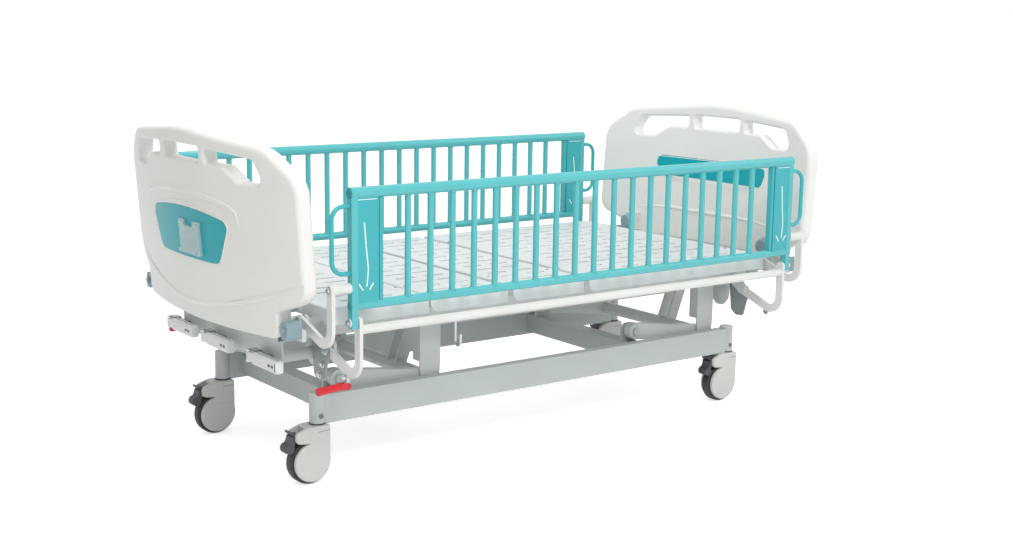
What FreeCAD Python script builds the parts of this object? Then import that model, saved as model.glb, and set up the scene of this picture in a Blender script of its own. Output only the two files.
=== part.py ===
"""Pediatric hospital cot: a crank-operated bed with drop-down barred side rails.

Frame: +X runs from the foot end to the head end, +Y to the far side, +Z up.
The origin is on the floor under the middle of the bed. Sizes are in millimetres.

The base stands on four castors. Two pairs of lift arms carry the bed frame on four
hanging legs and keep it level. The frame carries the four deck sections, the two end
boards, the three cranks and, on each side, a barred rail on a four-bar linkage.
"""

import FreeCAD
import Part
import math
import os

from FreeCAD import Placement, Rotation, Vector

# ---------------------------------------------------------------- driving dimensions

X_AXIS = Vector(1, 0, 0)
Y_AXIS = Vector(0, 1, 0)
Z_AXIS = Vector(0, 0, 1)

RUNNING_CLEARANCE = 0.05       # radial, between a pin and its bore
RESTING_GAP = 0.3              # between pieces that rest on or pass each other
SIDE_GAP = 2.0                 # between a moving plate and the plate beside it

# Castors
WHEEL_RADIUS = 62.5
WHEEL_WIDTH = 32.0
TREAD_ROUND = 7.0
HUB_RADIUS = 44.0
HUB_STEP = 2.0
AXLE_RADIUS = 6.0
CASTOR_HEIGHT = 163.0
CASTOR_TRAIL = 28.0
FORK_WIDTH = 58.0
FORK_COVER_RADIUS = 54.0       # of the side discs, about the axle
FORK_THROAT_X = -24.0          # where the beak's underside runs out inside the side disc
FORK_THROAT_Z = 114.0
BEAK_X = -64.0                 # middle of the beak's round tip, which also holds the pedal pin
BEAK_Z = 135.0
BEAK_RADIUS = 14.5
CROWN_EDGE_X = -40.0           # where the crown's top starts to fall towards the beak
CROWN_EDGE_ROUND = 30.0
CROWN_BACK_ROUND = 6.0
COVER_EDGE_ROUND = 5.0
WHEEL_SLOT_ROOM = 6.0          # around the tread, inside the cover
STEM_RADIUS = 14.0
STEM_LENGTH = 60.0
PEDAL_WIDTH = 34.0
PEDAL_PIN_RADIUS = 4.0
PEDAL_HUB_RADIUS = 9.0
PEDAL_BAY_X = -49.0            # inner end of the pedal's bay in the crown
PEDAL_BAY_Z = 108.0            # and the bay's floor
PEDAL_LOBE_RADIUS = 13.5
PEDAL_LOBE_X = -92.0
PEDAL_LOBE_Z = 107.5
PEDAL_TAB_X = -87.0
PEDAL_TAB_Z = 151.0
PEDAL_TAB_RADIUS = 3.5
PEDAL_NECK_X = -78.0           # waist between the tab and the lobe
PEDAL_NECK_Z = 134.0

# Base
POST_X = 775.0
POST_RADIUS = 22.0
POST_TOP_Z = 246.0
BASE_BEAM_Y = 290.0
BASE_BEAM_WIDTH = 30.0
BASE_BEAM_HEIGHT = 80.0
TUBE_WALL = 2.5
CROSS_BEAM_WIDTH = 50.0
CROSS_BEAM_HEIGHT = 60.0
CROSS_BEAM_RISE = 10.0         # underside of a cross beam above the underside of the side beams
CAP_HEIGHT = 4.0

# Lift linkage
BASE_PIVOT_FOOT_X = -690.0
BASE_PIVOT_HEAD_X = 399.0
BASE_PIVOT_Z = 269.0
LIFT_ARM_LENGTH = 300.0
LIFT_ARM_ANGLE = -7.5          # of the arm, from its base pivot, below the horizontal at rest
LIFT_ARM_HEIGHT = 50.0
LIFT_ARM_WIDTH = 30.0
LIFT_BOLT_RADIUS = 8.0
BOLT_HEAD_RADIUS = 12.0
BOLT_HEAD_HEIGHT = 6.0
BRACKET_THICKNESS = 8.0
BRACKET_WIDTH = 62.0
BRACKET_RISE = 24.0            # top of a lift bracket above its pivot
BRACKET_ROUND = 23.0
TORQUE_TUBE_RADIUS = 20.0
LEVER_LENGTH = 122.0
LEVER_ANGLE = 69.0
LEVER_WIDTH = 40.0
LEVER_THICKNESS = 6.0
LEVER_Y = (-100.0, -56.0)
TORQUE_TUBE_SOCKET = 4.0       # depth of the bolt socket in each end of the torque tube
LINK_ROD_RADIUS = 11.0
LINK_EYE_RADIUS = 14.0
LINK_PIN_RADIUS = 6.0

# Bed frame
FRAME_BOTTOM_Z = 405.0
FRAME_BEAM_HEIGHT = 60.0
FRAME_BEAM_WIDTH = 30.0
FRAME_BEAM_Y = 290.0
FRAME_OVERHANG = 66.0          # of the frame beams beyond the rails' end posts
LEG_WIDTH = 70.0
LEG_DEPTH = 38.0
LEG_PLATE = 5.0
LEG_STANDOFF = 8.0             # between the leg and the frame beam, filled by a weld pad
LEG_FLANGE_RISE = 45.0         # the flanges stop this far above the leg pivot
LEG_TOE_RADIUS = 28.0
LEG_TOE_ROUND = 20.0
LEG_HIP_ROUND = 12.0
LEG_TOP_DROP = 5.0             # top of the leg below the top of the frame beam
LEG_FLANGE_CUT = 8.0           # bottom of the flanges above the bend of the leg's outline
CROSS_TUBE_HEIGHT = 40.0
CROSS_TUBE_WIDTH = 30.0
CROSS_TUBE_RISE = 2.0          # underside of a cross tube above the underside of the frame beams
HINGE_TUBE_OFFSET = 40.0       # cross tube beside the hinge it carries
BACK_TUBE_X = 560.0
CALF_TUBE_X = -660.0

# Deck
DECK_TOP_Z = 512.0
DECK_HALF_WIDTH = 440.0
DECK_PLATE = 5.0
DECK_SKIRT = 4.0
DECK_CORNER = 25.0
CALF_JOINT_X = -510.0
THIGH_JOINT_X = -237.0
BACK_JOINT_X = 40.0
HINGE_DROP = 12.0              # back and thigh hinge axes below the deck top
CALF_HINGE_DROP = 41.5
HINGE_GAP = 10.0
CALF_HINGE_GAP = 4.0
CALF_LUG_Y = 190.0             # inner face of a calf hinge lug
CALF_LUG_RISE = 20.0           # top of the lug above the hinge axis
CALF_KNUCKLE_RADIUS = 5.0
CALF_PIN_RADIUS = 3.0
DECK_FOOT_INSET = 45.0         # end of the deck inside the frame beams' end
DECK_HEAD_INSET = 95.0
SLOT_LENGTH = 66.0
SLOT_WIDTH = 14.0
SLOT_STEP_X = 96.0
SLOT_STEP_Y = 62.0
SLOT_MARGIN = 42.0
HINGE_PIN_RADIUS = 5.0
HINGE_LUG_THICKNESS = 8.0
HINGE_LUG_Y = 250.0            # inner face of a hinge lug
HINGE_LUG_WIDTH = 14.0
HINGE_KNUCKLE_RADIUS = 8.0
HINGE_KNUCKLE_LENGTH = 26.0
SUBFRAME_TUBE = 25.0
SUBFRAME_Y = 240.0

# End boards
BOARD_STANDOFF = 146.0         # outer face of a board on the centre line, beyond the frame beams
BOARD_LEAN_Z = 700.0           # height at which the lean leaves that face in place
BOARD_SAGITTA = 78.0
BOARD_HALF_WIDTH = 505.0
BOARD_THICKNESS = 45.0
BOARD_LEAN = 4.0               # degrees outwards
BOARD_EDGE_ROUND = 14.0
BOARD_TOP_Z = 957.0
BOARD_SHOULDER_Y = 395.0
BOARD_SHOULDER_DROP = 36.0     # below the top on the centre line
BOARD_SIDE_DROP = 115.0
BOARD_EAR_Z = 540.0            # lower end of the board's sides
BOARD_NOTCH_Z = 503.0
BOARD_NOTCH_Y = 400.0
BOARD_CHIN_Y = 394.0
BOARD_BOTTOM_Z = 430.0
BOARD_TOP_ROUND = 900.0
BOARD_SHOULDER_ROUND = 110.0
BOARD_SIDE_ROUND = 75.0
BOARD_EAR_ROUND = 52.0
BOARD_NOTCH_ROUND = 16.0
BOARD_CHIN_ROUND = 30.0
BOARD_LIP = 22.0               # thickness left at the bottom, where the inner side is cut back
BOARD_LIP_Z = 472.0
CREASE_DEPTH = 2.5
CREASE_SIDE_Z = 592.0
CREASE_MIDDLE_Z = 452.0
CREASE_ROUND = 900.0
GRIP_RAIL_DEPTH = 46.0         # height of the hand rail above the hand openings
GRIP_SLOT_DROP = 90.0          # lower edge of the hand openings below the board's top
GRIP_POST_WIDTH = 24.0
GRIP_POST_Y = 124.0
GRIP_DIP_START_Y = 222.0
GRIP_DIP_END_Y = 290.0
GRIP_DIP = 40.0
GRIP_SLOT_END_Y = 376.0
GRIP_SLOT_TIP_Y = 350.0
GRIP_TIP_DROP = 64.0
GRIP_TAPER = 4.0
GRIP_SLOT_ROUND = 12.0
GRIP_EDGE_ROUND = 8.0
PANEL_THICKNESS = 4.0
PANEL_RECESS = 3.0
PANEL_FIT = 0.3
OUTER_PANEL = (238.0, 182.0, 602.0, 718.0)   # half width at the top, at the bottom, bottom, top
INNER_PANEL = (276.0, 250.0, 690.0, 760.0)
PANEL_CROWN = 36.0             # rise of the outer panel's top edge in the middle, before rounding
PANEL_CROWN_ROUND = 1150.0
PANEL_ROUND = 26.0
CARD_HOLDER_Y = -38.0
CARD_HOLDER_WIDTH = 112.0
CARD_HOLDER_HEIGHT = 92.0
CARD_HOLDER_DEPTH = 9.0
CARD_HOLDER_WALL = 2.5
CARD_HOLDER_NOTCH = 30.0       # half width of the notch
CARD_HOLDER_NOTCH_DEPTH = 15.0
CARD_HOLDER_NOTCH_ROUND = 6.0
CARD_HOLDER_Z = 660.0
BOARD_BRACKET_Y = 340.0
BOARD_BRACKET_WIDTH = 40.0
BOARD_BRACKET_BOTTOM_Z = 432.0
BOARD_BRACKET_TOP_Z = 545.0
BOARD_BRACKET_PLATE = 12.0
BOARD_BRACKET_TIE_Z = 462.0
BUMPER_Y = (406.0, 440.0)
BUMPER_Z = (440.0, 486.0)
BUMPER_REACH = 44.0
BUMPER_ROUND = 9.0
BUMPER_BOLT_RADIUS = 9.0
BOARD_KNOB_RADIUS = 24.0
BOARD_KNOB_LENGTH = 22.0
BOARD_KNOB_DROP = 30.0
BOARD_KNOB_ROUND = 4.0

# Side rails
RAIL_Y = 516.0
RAIL_TOP_Z = 817.0
RAIL_BOTTOM_Z = 529.0
RAIL_TOP_RADIUS = 15.0
RAIL_BOTTOM_RADIUS = 12.0
RAIL_HALF_LENGTH = 804.0
BAR_RADIUS = 8.5
BAR_PITCH = 70.0
BAR_COUNT = 19
RAIL_POST_WIDTH = 18.0
RAIL_POST_DEPTH = 22.0
RAIL_POST_FOOT_Z = 470.0
END_PLATE_WIDTH = 80.0
END_PLATE_DEPTH = 20.0
LOOP_RADIUS = 6.0
LOOP_REACH = 52.0
LOOP_TOP_Z = 785.0
LOOP_BOTTOM_Z = 613.0
LOOP_BEND = 34.0

# Rail linkage: both pairs of arms have one outline and swing in parallel
ARM_PIVOT_Y = 360.0
UPPER_PIVOT_Z = 470.0
LOWER_PIVOT_Z = 380.0
ARM_RISE = 105.0               # rail pivot above the frame pivot
ARM_HOOK_DROP = 54.0           # corner of the arm below the frame pivot, before it is bent round
ARM_BEND_RADIUS = 40.0
ARM_WIDTH = 26.0
ARM_THICKNESS = 10.0
UPPER_ARM_OFFSET = 55.0        # middle of an upper arm outboard of the rail's end
LOWER_ARM_GAP = 3.0            # between a lower arm and the rail's end post
RAIL_PIN_RADIUS = 7.0
FRAME_PIN_RADIUS = 8.0
STUB_RADIUS = 14.0
RAIL_COLLAR_RADIUS = 11.0
RAIL_COLLAR_LENGTH = 4.0
LINK_TUBE_RADIUS = 12.0
LINK_TUBE_DROP = 21.0          # of the link tube below the lower rail pivot
PIVOT_BRACKET_THICKNESS = 8.0
PIVOT_BRACKET_HEIGHT = 44.0
PIVOT_BRACKET_NOSE = 18.0      # of the bracket beyond its pivot
PIVOT_BRACKET_ROUND = 16.0
RELEASE_TAB_Y = 95.0           # release lever pin, outboard of the lower frame pivot
RELEASE_TAB_DROP = 76.0        # and below it
RELEASE_TAB_WIDTH = 12.0
RELEASE_PIN_RADIUS = 3.0
RELEASE_CHEEK = 3.0
RELEASE_BOSS_RADIUS = 8.5
RELEASE_HANDLE_RADIUS = 10.5
RELEASE_HANDLE_REACH = 92.0
RELEASE_HANDLE_DROP = 6.0
RELEASE_BLOCK_OFFSET = 13.0
RELEASE_BLOCK_LENGTH = 10.0

# Cranks
CRANK_Y = (262.0, 32.0, -250.0)
CRANK_Z = 352.0
CRANK_SHAFT_RADIUS = 9.0
CRANK_SHAFT_LENGTH = 190.0
CRANK_ARM_THICKNESS = 12.0
CRANK_THROW = 60.0
CRANK_GRIP_LENGTH = 186.0
CRANK_GRIP_HEIGHT = 34.0
CRANK_GRIP_DEPTH = 26.0
CRANK_GRIP_ROUND = 6.0
CRANK_GRIP_SETBACK = 34.0      # of the moulded grip from its fold pin
CRANK_GRIP_TAIL = 12.0         # of the fold pin inside the folded grip's length
CRANK_NECK_INSET = 4.0         # of the neck inside the moulded grip, on each face
CRANK_NECK_LAP = 8.0           # of the neck into the grip
CRANK_LUG_THICKNESS = 5.0
CRANK_LUG_RADIUS = 8.0
CRANK_WEB_REACH = 26.0         # of the lug block inwards of the fold pin
CRANK_FOLD_PIN_RADIUS = 4.0
DRIVE_TUBE_CLOSURE = 10.0      # closed end of a drive tube beyond the shaft's end
CRANK_PLATE_THICKNESS = 5.0
CRANK_PLATE_BOTTOM_Z = 332.0
DRIVE_TUBE_RADIUS = 17.0

# Hooks for a drainage bag
HOOK_X = -335.0
HOOK_ROOT_RISE = 14.0          # top of the wire above the underside of the frame beam
HOOK_TIP_RISE = 22.0
HOOK_WIRE_RADIUS = 4.0
HOOK_DROP = 62.0
HOOK_REACH = 26.0

# ---------------------------------------------------------------- derived places

FORK_BACK_X = FORK_COVER_RADIUS - CASTOR_TRAIL
BASE_BOTTOM_Z = CASTOR_HEIGHT
CROSS_BEAM_BOTTOM_Z = BASE_BOTTOM_Z + CROSS_BEAM_RISE
CROSS_BEAM_TOP_Z = CROSS_BEAM_BOTTOM_Z + CROSS_BEAM_HEIGHT
LIFT_RUN = LIFT_ARM_LENGTH * math.cos(math.radians(LIFT_ARM_ANGLE))
LIFT_FALL = LIFT_ARM_LENGTH * math.sin(math.radians(LIFT_ARM_ANGLE))
LEG_PIVOT_Z = BASE_PIVOT_Z + LIFT_FALL
LEG_FOOT_X = BASE_PIVOT_FOOT_X + LIFT_RUN
LEG_HEAD_X = BASE_PIVOT_HEAD_X + LIFT_RUN
LEVER_DX = LEVER_LENGTH * math.cos(math.radians(LEVER_ANGLE))
LEVER_DZ = LEVER_LENGTH * math.sin(math.radians(LEVER_ANGLE))
FRAME_TOP_Z = FRAME_BOTTOM_Z + FRAME_BEAM_HEIGHT
FRAME_INNER_Y = FRAME_BEAM_Y - FRAME_BEAM_WIDTH / 2
LEG_FACE_Y = FRAME_INNER_Y - LEG_STANDOFF
LIFT_ARM_Y = LEG_FACE_Y - LEG_PLATE - SIDE_GAP - LIFT_ARM_WIDTH / 2
FRAME_OUTER_Y = FRAME_BEAM_Y + FRAME_BEAM_WIDTH / 2
DECK_BOTTOM_Z = FRAME_TOP_Z + RESTING_GAP
HINGE_Z = DECK_TOP_Z - HINGE_DROP
CALF_HINGE_Z = DECK_TOP_Z - CALF_HINGE_DROP
FRAME_END_X = RAIL_HALF_LENGTH + FRAME_OVERHANG
DECK_FOOT_X = DECK_FOOT_INSET - FRAME_END_X
DECK_HEAD_X = FRAME_END_X - DECK_HEAD_INSET
BOARD_OUTER_X = FRAME_END_X + BOARD_STANDOFF
BOARD_SHOULDER_Z = BOARD_TOP_Z - BOARD_SHOULDER_DROP
BOARD_SIDE_TOP_Z = BOARD_TOP_Z - BOARD_SIDE_DROP
GRIP_SLOT_BOTTOM_Z = BOARD_TOP_Z - GRIP_SLOT_DROP
OUTLINE_X = BOARD_OUTER_X - 2.5 * BOARD_HALF_WIDTH / 5
UPPER_ARM_X = RAIL_HALF_LENGTH + UPPER_ARM_OFFSET
LOWER_ARM_X = RAIL_HALF_LENGTH - RAIL_POST_WIDTH - LOWER_ARM_GAP - ARM_THICKNESS / 2
CRANK_ARM_X = -(FRAME_END_X + FRAME_BEAM_WIDTH)
RAIL_POST_X = RAIL_HALF_LENGTH - RAIL_POST_WIDTH / 2
CRANK_PLATE_X = CRANK_ARM_X + CRANK_ARM_THICKNESS + RESTING_GAP

SIDES = {"near": -1, "far": 1}
ENDS = {"foot": -1, "head": 1}


# ---------------------------------------------------------------- helpers

def box(x, y, z):
    """A box from three (low, high) pairs, in any order."""
    lows = [min(pair) for pair in (x, y, z)]
    sizes = [abs(pair[1] - pair[0]) for pair in (x, y, z)]
    return Part.makeBox(sizes[0], sizes[1], sizes[2], Vector(*lows))


def rod(start, end, radius):
    """A round rod between two points."""
    direction = end.sub(start)
    return Part.makeCylinder(radius, direction.Length, start, direction)


def fuse(shapes):
    """One solid from shapes that meet or overlap."""
    joined = shapes[0].multiFuse(shapes[1:])
    return joined.removeSplitter()


def mirror_x(shape):
    return shape.mirror(Vector(0, 0, 0), X_AXIS)


def mirror_y(shape):
    return shape.mirror(Vector(0, 0, 0), Y_AXIS)


def plate_along(points, width, thickness):
    """A flat bar with round ends that follows a bent line, thickness along the vector given."""
    if len(points) == 2:
        return straight_bar(points[0], points[1], width, thickness)
    outline = Part.makePolygon(points).makeOffset2D(width / 2, 0, False, False)
    return Part.Face(outline).extrude(thickness)


def straight_bar(start, end, width, thickness):
    """A flat bar with round ends between two points, thickness along the vector given."""
    along = end.sub(start).normalize().multiply(width / 2)
    across = thickness.cross(along).normalize().multiply(width / 2)
    wire = Part.Wire([
        Part.LineSegment(start.add(across), end.add(across)).toShape(),
        Part.Arc(end.add(across), end.add(along), end.sub(across)).toShape(),
        Part.LineSegment(end.sub(across), start.sub(across)).toShape(),
        Part.Arc(start.sub(across), start.sub(along), start.add(across)).toShape()])
    return Part.Face(wire).extrude(thickness)


def rounded_outline(points, radii, normal_axis, level):
    """A closed outline of straight sides whose corners are rounded, in a plane across an axis."""
    def place(u, v):
        if normal_axis == "x":
            return Vector(level, u, v)
        if normal_axis == "y":
            return Vector(u, level, v)
        return Vector(u, v, level)

    edges = []
    count = len(points)
    corners = []
    for index, (u, v) in enumerate(points):
        before = points[index - 1]
        after = points[(index + 1) % count]
        arriving = Vector(u - before[0], v - before[1], 0).normalize()
        leaving = Vector(after[0] - u, after[1] - v, 0).normalize()
        turn = arriving.getAngle(leaving)
        cut = radii[index] * math.tan(turn / 2)
        start = Vector(u, v, 0).sub(Vector(arriving).multiply(cut))
        end = Vector(u, v, 0).add(Vector(leaving).multiply(cut))
        bisector = Vector(leaving).sub(arriving)
        if cut > 0 and bisector.Length > 0:
            sag = radii[index] * (1 / math.cos(turn / 2) - 1)
            middle = Vector(u, v, 0).add(bisector.normalize().multiply(sag))
        else:
            middle = None
        corners.append((start, middle, end))
    for index, (start, middle, end) in enumerate(corners):
        following = corners[(index + 1) % count][0]
        if middle is not None:
            edges.append(Part.Arc(place(start.x, start.y), place(middle.x, middle.y),
                                  place(end.x, end.y)).toShape())
        if end.distanceToPoint(following) > 1e-6:
            edges.append(Part.LineSegment(place(end.x, end.y),
                                          place(following.x, following.y)).toShape())
    return Part.Face(Part.Wire(edges))


def rect_tube_x(x, y_centre, z_bottom, width, height):
    """A hollow rectangular tube along X, open at both ends."""
    outer = box(x, (y_centre - width / 2, y_centre + width / 2), (z_bottom, z_bottom + height))
    inner = box(x, (y_centre - width / 2 + TUBE_WALL, y_centre + width / 2 - TUBE_WALL),
                (z_bottom + TUBE_WALL, z_bottom + height - TUBE_WALL))
    return outer.cut(inner)


def rect_tube_y(x_centre, y, z_bottom, width, height):
    """A hollow rectangular tube along Y, open at both ends."""
    outer = box((x_centre - width / 2, x_centre + width / 2), y, (z_bottom, z_bottom + height))
    inner = box((x_centre - width / 2 + TUBE_WALL, x_centre + width / 2 - TUBE_WALL), y,
                (z_bottom + TUBE_WALL, z_bottom + height - TUBE_WALL))
    return outer.cut(inner)


def save(name, *shapes):
    """Write one sub-part as a STEP file; several solids share one file as a group."""
    solids = []
    for shape in shapes:
        solids.extend(shape.Solids)
    result = solids[0] if len(solids) == 1 else Part.makeCompound(solids)
    for solid in solids:
        if not solid.isValid() or solid.Volume <= 0:
            raise ValueError("bad solid in " + name)
    result.exportStep("parts/" + name + ".step")
    print(name, len(solids), "solids", round(result.Volume / 1000.0, 1), "cm3")


# ---------------------------------------------------------------- castors

def cover_outline():
    """Side view of the cover above the side discs: crown, falling top and beak, at its low-Y face."""
    level = -FORK_WIDTH / 2
    top = CASTOR_HEIGHT - RESTING_GAP
    corners = [(BEAK_X - BEAK_RADIUS, BEAK_Z - BEAK_RADIUS), (FORK_THROAT_X, FORK_THROAT_Z),
               (-CASTOR_TRAIL, WHEEL_RADIUS), (FORK_BACK_X, WHEEL_RADIUS), (FORK_BACK_X, top),
               (CROWN_EDGE_X, top), (BEAK_X - BEAK_RADIUS, BEAK_Z + BEAK_RADIUS)]
    radii = [BEAK_RADIUS, 0, 0, 0, CROWN_BACK_ROUND, CROWN_EDGE_ROUND, BEAK_RADIUS - TUBE_WALL]
    return rounded_outline(corners, radii, "y", level)


def castor_fork():
    """Moulded twin cover with crown, beak and stem, stem axis on the local Z axis."""
    half = FORK_WIDTH / 2
    across = Vector(0, FORK_WIDTH, 0)
    axle = Vector(-CASTOR_TRAIL, -half, WHEEL_RADIUS)
    cover = rod(axle, axle.add(across), FORK_COVER_RADIUS)
    body = fuse([cover, cover_outline().extrude(across)])
    rims = [edge for edge in body.Edges if edge.BoundBox.YLength < RESTING_GAP]
    body = body.makeFillet(COVER_EDGE_ROUND, rims)
    slot_half = WHEEL_WIDTH / 2 + SIDE_GAP
    slot_start = Vector(-CASTOR_TRAIL, -slot_half, WHEEL_RADIUS)
    slot_end = Vector(-CASTOR_TRAIL, slot_half, WHEEL_RADIUS)
    wheel_slot = rod(slot_start, slot_end, WHEEL_RADIUS + WHEEL_SLOT_ROOM)
    reach = 2 * WHEEL_RADIUS
    below = box((-reach, reach), (-slot_half, slot_half), (-WHEEL_SLOT_ROOM, WHEEL_RADIUS))
    pedal_half = PEDAL_WIDTH / 2 + SIDE_GAP / 2
    pedal_bay = box((-reach, PEDAL_BAY_X), (-pedal_half, pedal_half), (PEDAL_BAY_Z, CASTOR_HEIGHT))
    body = body.cut(wheel_slot).cut(below).cut(pedal_bay).cut(castor_axle()).cut(castor_pedal_pin())
    stem_foot = Vector(0, 0, CASTOR_HEIGHT - SIDE_GAP)
    stem = Part.makeCylinder(STEM_RADIUS, STEM_LENGTH + SIDE_GAP - RESTING_GAP, stem_foot)
    return body.fuse(stem).removeSplitter()


def castor_axle():
    half = FORK_WIDTH / 2
    return rod(Vector(-CASTOR_TRAIL, -half, WHEEL_RADIUS), Vector(-CASTOR_TRAIL, half, WHEEL_RADIUS),
               AXLE_RADIUS)


def castor_pedal_pin():
    half = FORK_WIDTH / 2
    return rod(Vector(BEAK_X, -half, BEAK_Z), Vector(BEAK_X, half, BEAK_Z), PEDAL_PIN_RADIUS)


def castor_wheel():
    """Tyre and hub in one revolved profile, with a running bore for the axle."""
    half = WHEEL_WIDTH / 2
    disc = Part.makeCylinder(WHEEL_RADIUS, WHEEL_WIDTH,
                             Vector(-CASTOR_TRAIL, -half, WHEEL_RADIUS), Y_AXIS)
    rims = [edge for edge in disc.Edges if isinstance(edge.Curve, Part.Circle)]
    tyre = disc.makeFillet(TREAD_ROUND, rims)
    for side in (-1, 1):
        dish = Part.makeCylinder(HUB_RADIUS, HUB_STEP,
                                 Vector(-CASTOR_TRAIL, side * half, WHEEL_RADIUS), Vector(0, -side, 0))
        tyre = tyre.cut(dish)
    bore = Part.makeCylinder(AXLE_RADIUS + RUNNING_CLEARANCE, WHEEL_WIDTH,
                             Vector(-CASTOR_TRAIL, -half, WHEEL_RADIUS), Y_AXIS)
    return tyre.cut(bore)


def pedal_limb(places, width):
    """Part of the pedal that follows a line of (x, z) places across the pedal's width."""
    half = PEDAL_WIDTH / 2
    points = [Vector(x, -half, z) for x, z in places]
    return plate_along(points, width, Vector(0, PEDAL_WIDTH, 0))


def castor_pedal():
    """Paw-shaped foot pedal: hub, a thin upper tab and a round lower lobe."""
    half = PEDAL_WIDTH / 2
    hub = (BEAK_X, BEAK_Z)
    neck = (PEDAL_NECK_X, PEDAL_NECK_Z)
    pieces = [pedal_limb([hub, neck], 2 * PEDAL_HUB_RADIUS),
              pedal_limb([neck, (PEDAL_LOBE_X, PEDAL_LOBE_Z)], PEDAL_LOBE_RADIUS),
              pedal_limb([hub, (PEDAL_TAB_X, PEDAL_TAB_Z)], 2 * PEDAL_TAB_RADIUS),
              rod(Vector(PEDAL_LOBE_X, -half, PEDAL_LOBE_Z), Vector(PEDAL_LOBE_X, half, PEDAL_LOBE_Z),
                  PEDAL_LOBE_RADIUS)]
    bore = rod(Vector(BEAK_X, -FORK_WIDTH / 2, BEAK_Z), Vector(BEAK_X, FORK_WIDTH / 2, BEAK_Z),
               PEDAL_PIN_RADIUS + RUNNING_CLEARANCE)
    return fuse(pieces).cut(bore)


def make_castors():
    fork = castor_fork()
    axle = castor_axle()
    pin = castor_pedal_pin()
    wheel = castor_wheel()
    pedal = castor_pedal()
    for end_name, end in ENDS.items():
        for side_name, side in SIDES.items():
            place = Vector(end * POST_X, side * BASE_BEAM_Y, 0)
            label = end_name + "_" + side_name
            save("castor_fork_" + label, *[piece.translated(place) for piece in (fork, axle, pin)])
            save("castor_wheel_" + label, wheel.translated(place))
            save("castor_pedal_" + label, pedal.translated(place))


# ---------------------------------------------------------------- base

def castor_post(end, side):
    """Upright round socket at a corner of the base, bored for the castor stem."""
    foot = Vector(end * POST_X, side * BASE_BEAM_Y, BASE_BOTTOM_Z)
    post = Part.makeCylinder(POST_RADIUS, POST_TOP_Z - BASE_BOTTOM_Z, foot)
    bore = Part.makeCylinder(STEM_RADIUS + RUNNING_CLEARANCE, STEM_LENGTH + SIDE_GAP, foot)
    return post.cut(bore)


def base_beam(side):
    """Side beam between two castor posts, hollowed to their curve at both ends."""
    y = side * BASE_BEAM_Y
    beam = rect_tube_x((-POST_X, POST_X), y, BASE_BOTTOM_Z, BASE_BEAM_WIDTH, BASE_BEAM_HEIGHT)
    for end in (-1, 1):
        foot = Vector(end * POST_X, y, BASE_BOTTOM_Z)
        beam = beam.cut(Part.makeCylinder(POST_RADIUS, BASE_BEAM_HEIGHT, foot))
    return beam


def cross_beam(pivot_x):
    inner_y = BASE_BEAM_Y - BASE_BEAM_WIDTH / 2
    return rect_tube_y(pivot_x, (-inner_y, inner_y), CROSS_BEAM_BOTTOM_Z, CROSS_BEAM_WIDTH,
                       CROSS_BEAM_HEIGHT)


def lift_bracket(pivot_x, side):
    """Upright plate on a cross beam, inboard of the lift arm, with its pivot bolt."""
    face_y = side * (LIFT_ARM_Y - LIFT_ARM_WIDTH / 2 - SIDE_GAP)
    low_x = pivot_x - BRACKET_WIDTH / 2
    high_x = pivot_x + BRACKET_WIDTH / 2
    top = BASE_PIVOT_Z + BRACKET_RISE
    corners = [(low_x, CROSS_BEAM_TOP_Z), (high_x, CROSS_BEAM_TOP_Z), (high_x, top), (low_x, top)]
    plate = rounded_outline(corners, [0, 0, BRACKET_ROUND, BRACKET_ROUND], "y", face_y)
    plate = plate.extrude(Vector(0, -side * BRACKET_THICKNESS, 0))
    outer_y = side * (LIFT_ARM_Y + LIFT_ARM_WIDTH / 2 + SIDE_GAP)
    spacer = rod(Vector(pivot_x, face_y, BASE_PIVOT_Z),
                 Vector(pivot_x, face_y + side * (SIDE_GAP - RESTING_GAP), BASE_PIVOT_Z), BOLT_HEAD_RADIUS)
    shank = rod(Vector(pivot_x, face_y - side * BRACKET_THICKNESS, BASE_PIVOT_Z),
                Vector(pivot_x, outer_y, BASE_PIVOT_Z), LIFT_BOLT_RADIUS)
    head = rod(Vector(pivot_x, outer_y - side * (SIDE_GAP - RESTING_GAP), BASE_PIVOT_Z),
               Vector(pivot_x, outer_y + side * BOLT_HEAD_HEIGHT, BASE_PIVOT_Z), BOLT_HEAD_RADIUS)
    return fuse([plate, spacer, shank, head])


def make_base():
    for side_name, side in SIDES.items():
        save("base_beam_" + side_name, base_beam(side))
    save("castor_posts", *[castor_post(end, side) for end in ENDS.values() for side in SIDES.values()])
    save("base_cross_members", cross_beam(BASE_PIVOT_FOOT_X), cross_beam(BASE_PIVOT_HEAD_X))
    save("lift_brackets", *[lift_bracket(x, side) for x in (BASE_PIVOT_FOOT_X, BASE_PIVOT_HEAD_X)
                            for side in SIDES.values()])
    caps = []
    for end in ENDS.values():
        for side in SIDES.values():
            place = Vector(end * POST_X, side * BASE_BEAM_Y, POST_TOP_Z)
            cap = Part.makeCylinder(POST_RADIUS, CAP_HEIGHT, place)
            rim = [edge for edge in cap.Edges if edge.BoundBox.ZMin > POST_TOP_Z + CAP_HEIGHT / 2]
            caps.append(cap.makeFillet(CAP_HEIGHT / 2, rim))
    save("post_caps", *caps)


# ---------------------------------------------------------------- lift linkage

def lift_arm(base_x, side):
    y_low = side * LIFT_ARM_Y - LIFT_ARM_WIDTH / 2
    start = Vector(base_x, y_low, BASE_PIVOT_Z)
    end = Vector(base_x + LIFT_RUN, y_low, LEG_PIVOT_Z)
    bar = plate_along([start, end], LIFT_ARM_HEIGHT, Vector(0, LIFT_ARM_WIDTH, 0))
    bore = LIFT_BOLT_RADIUS + RUNNING_CLEARANCE
    for point in (start, end):
        bar = bar.cut(rod(point, point.add(Vector(0, LIFT_ARM_WIDTH, 0)), bore))
    return bar


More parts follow.
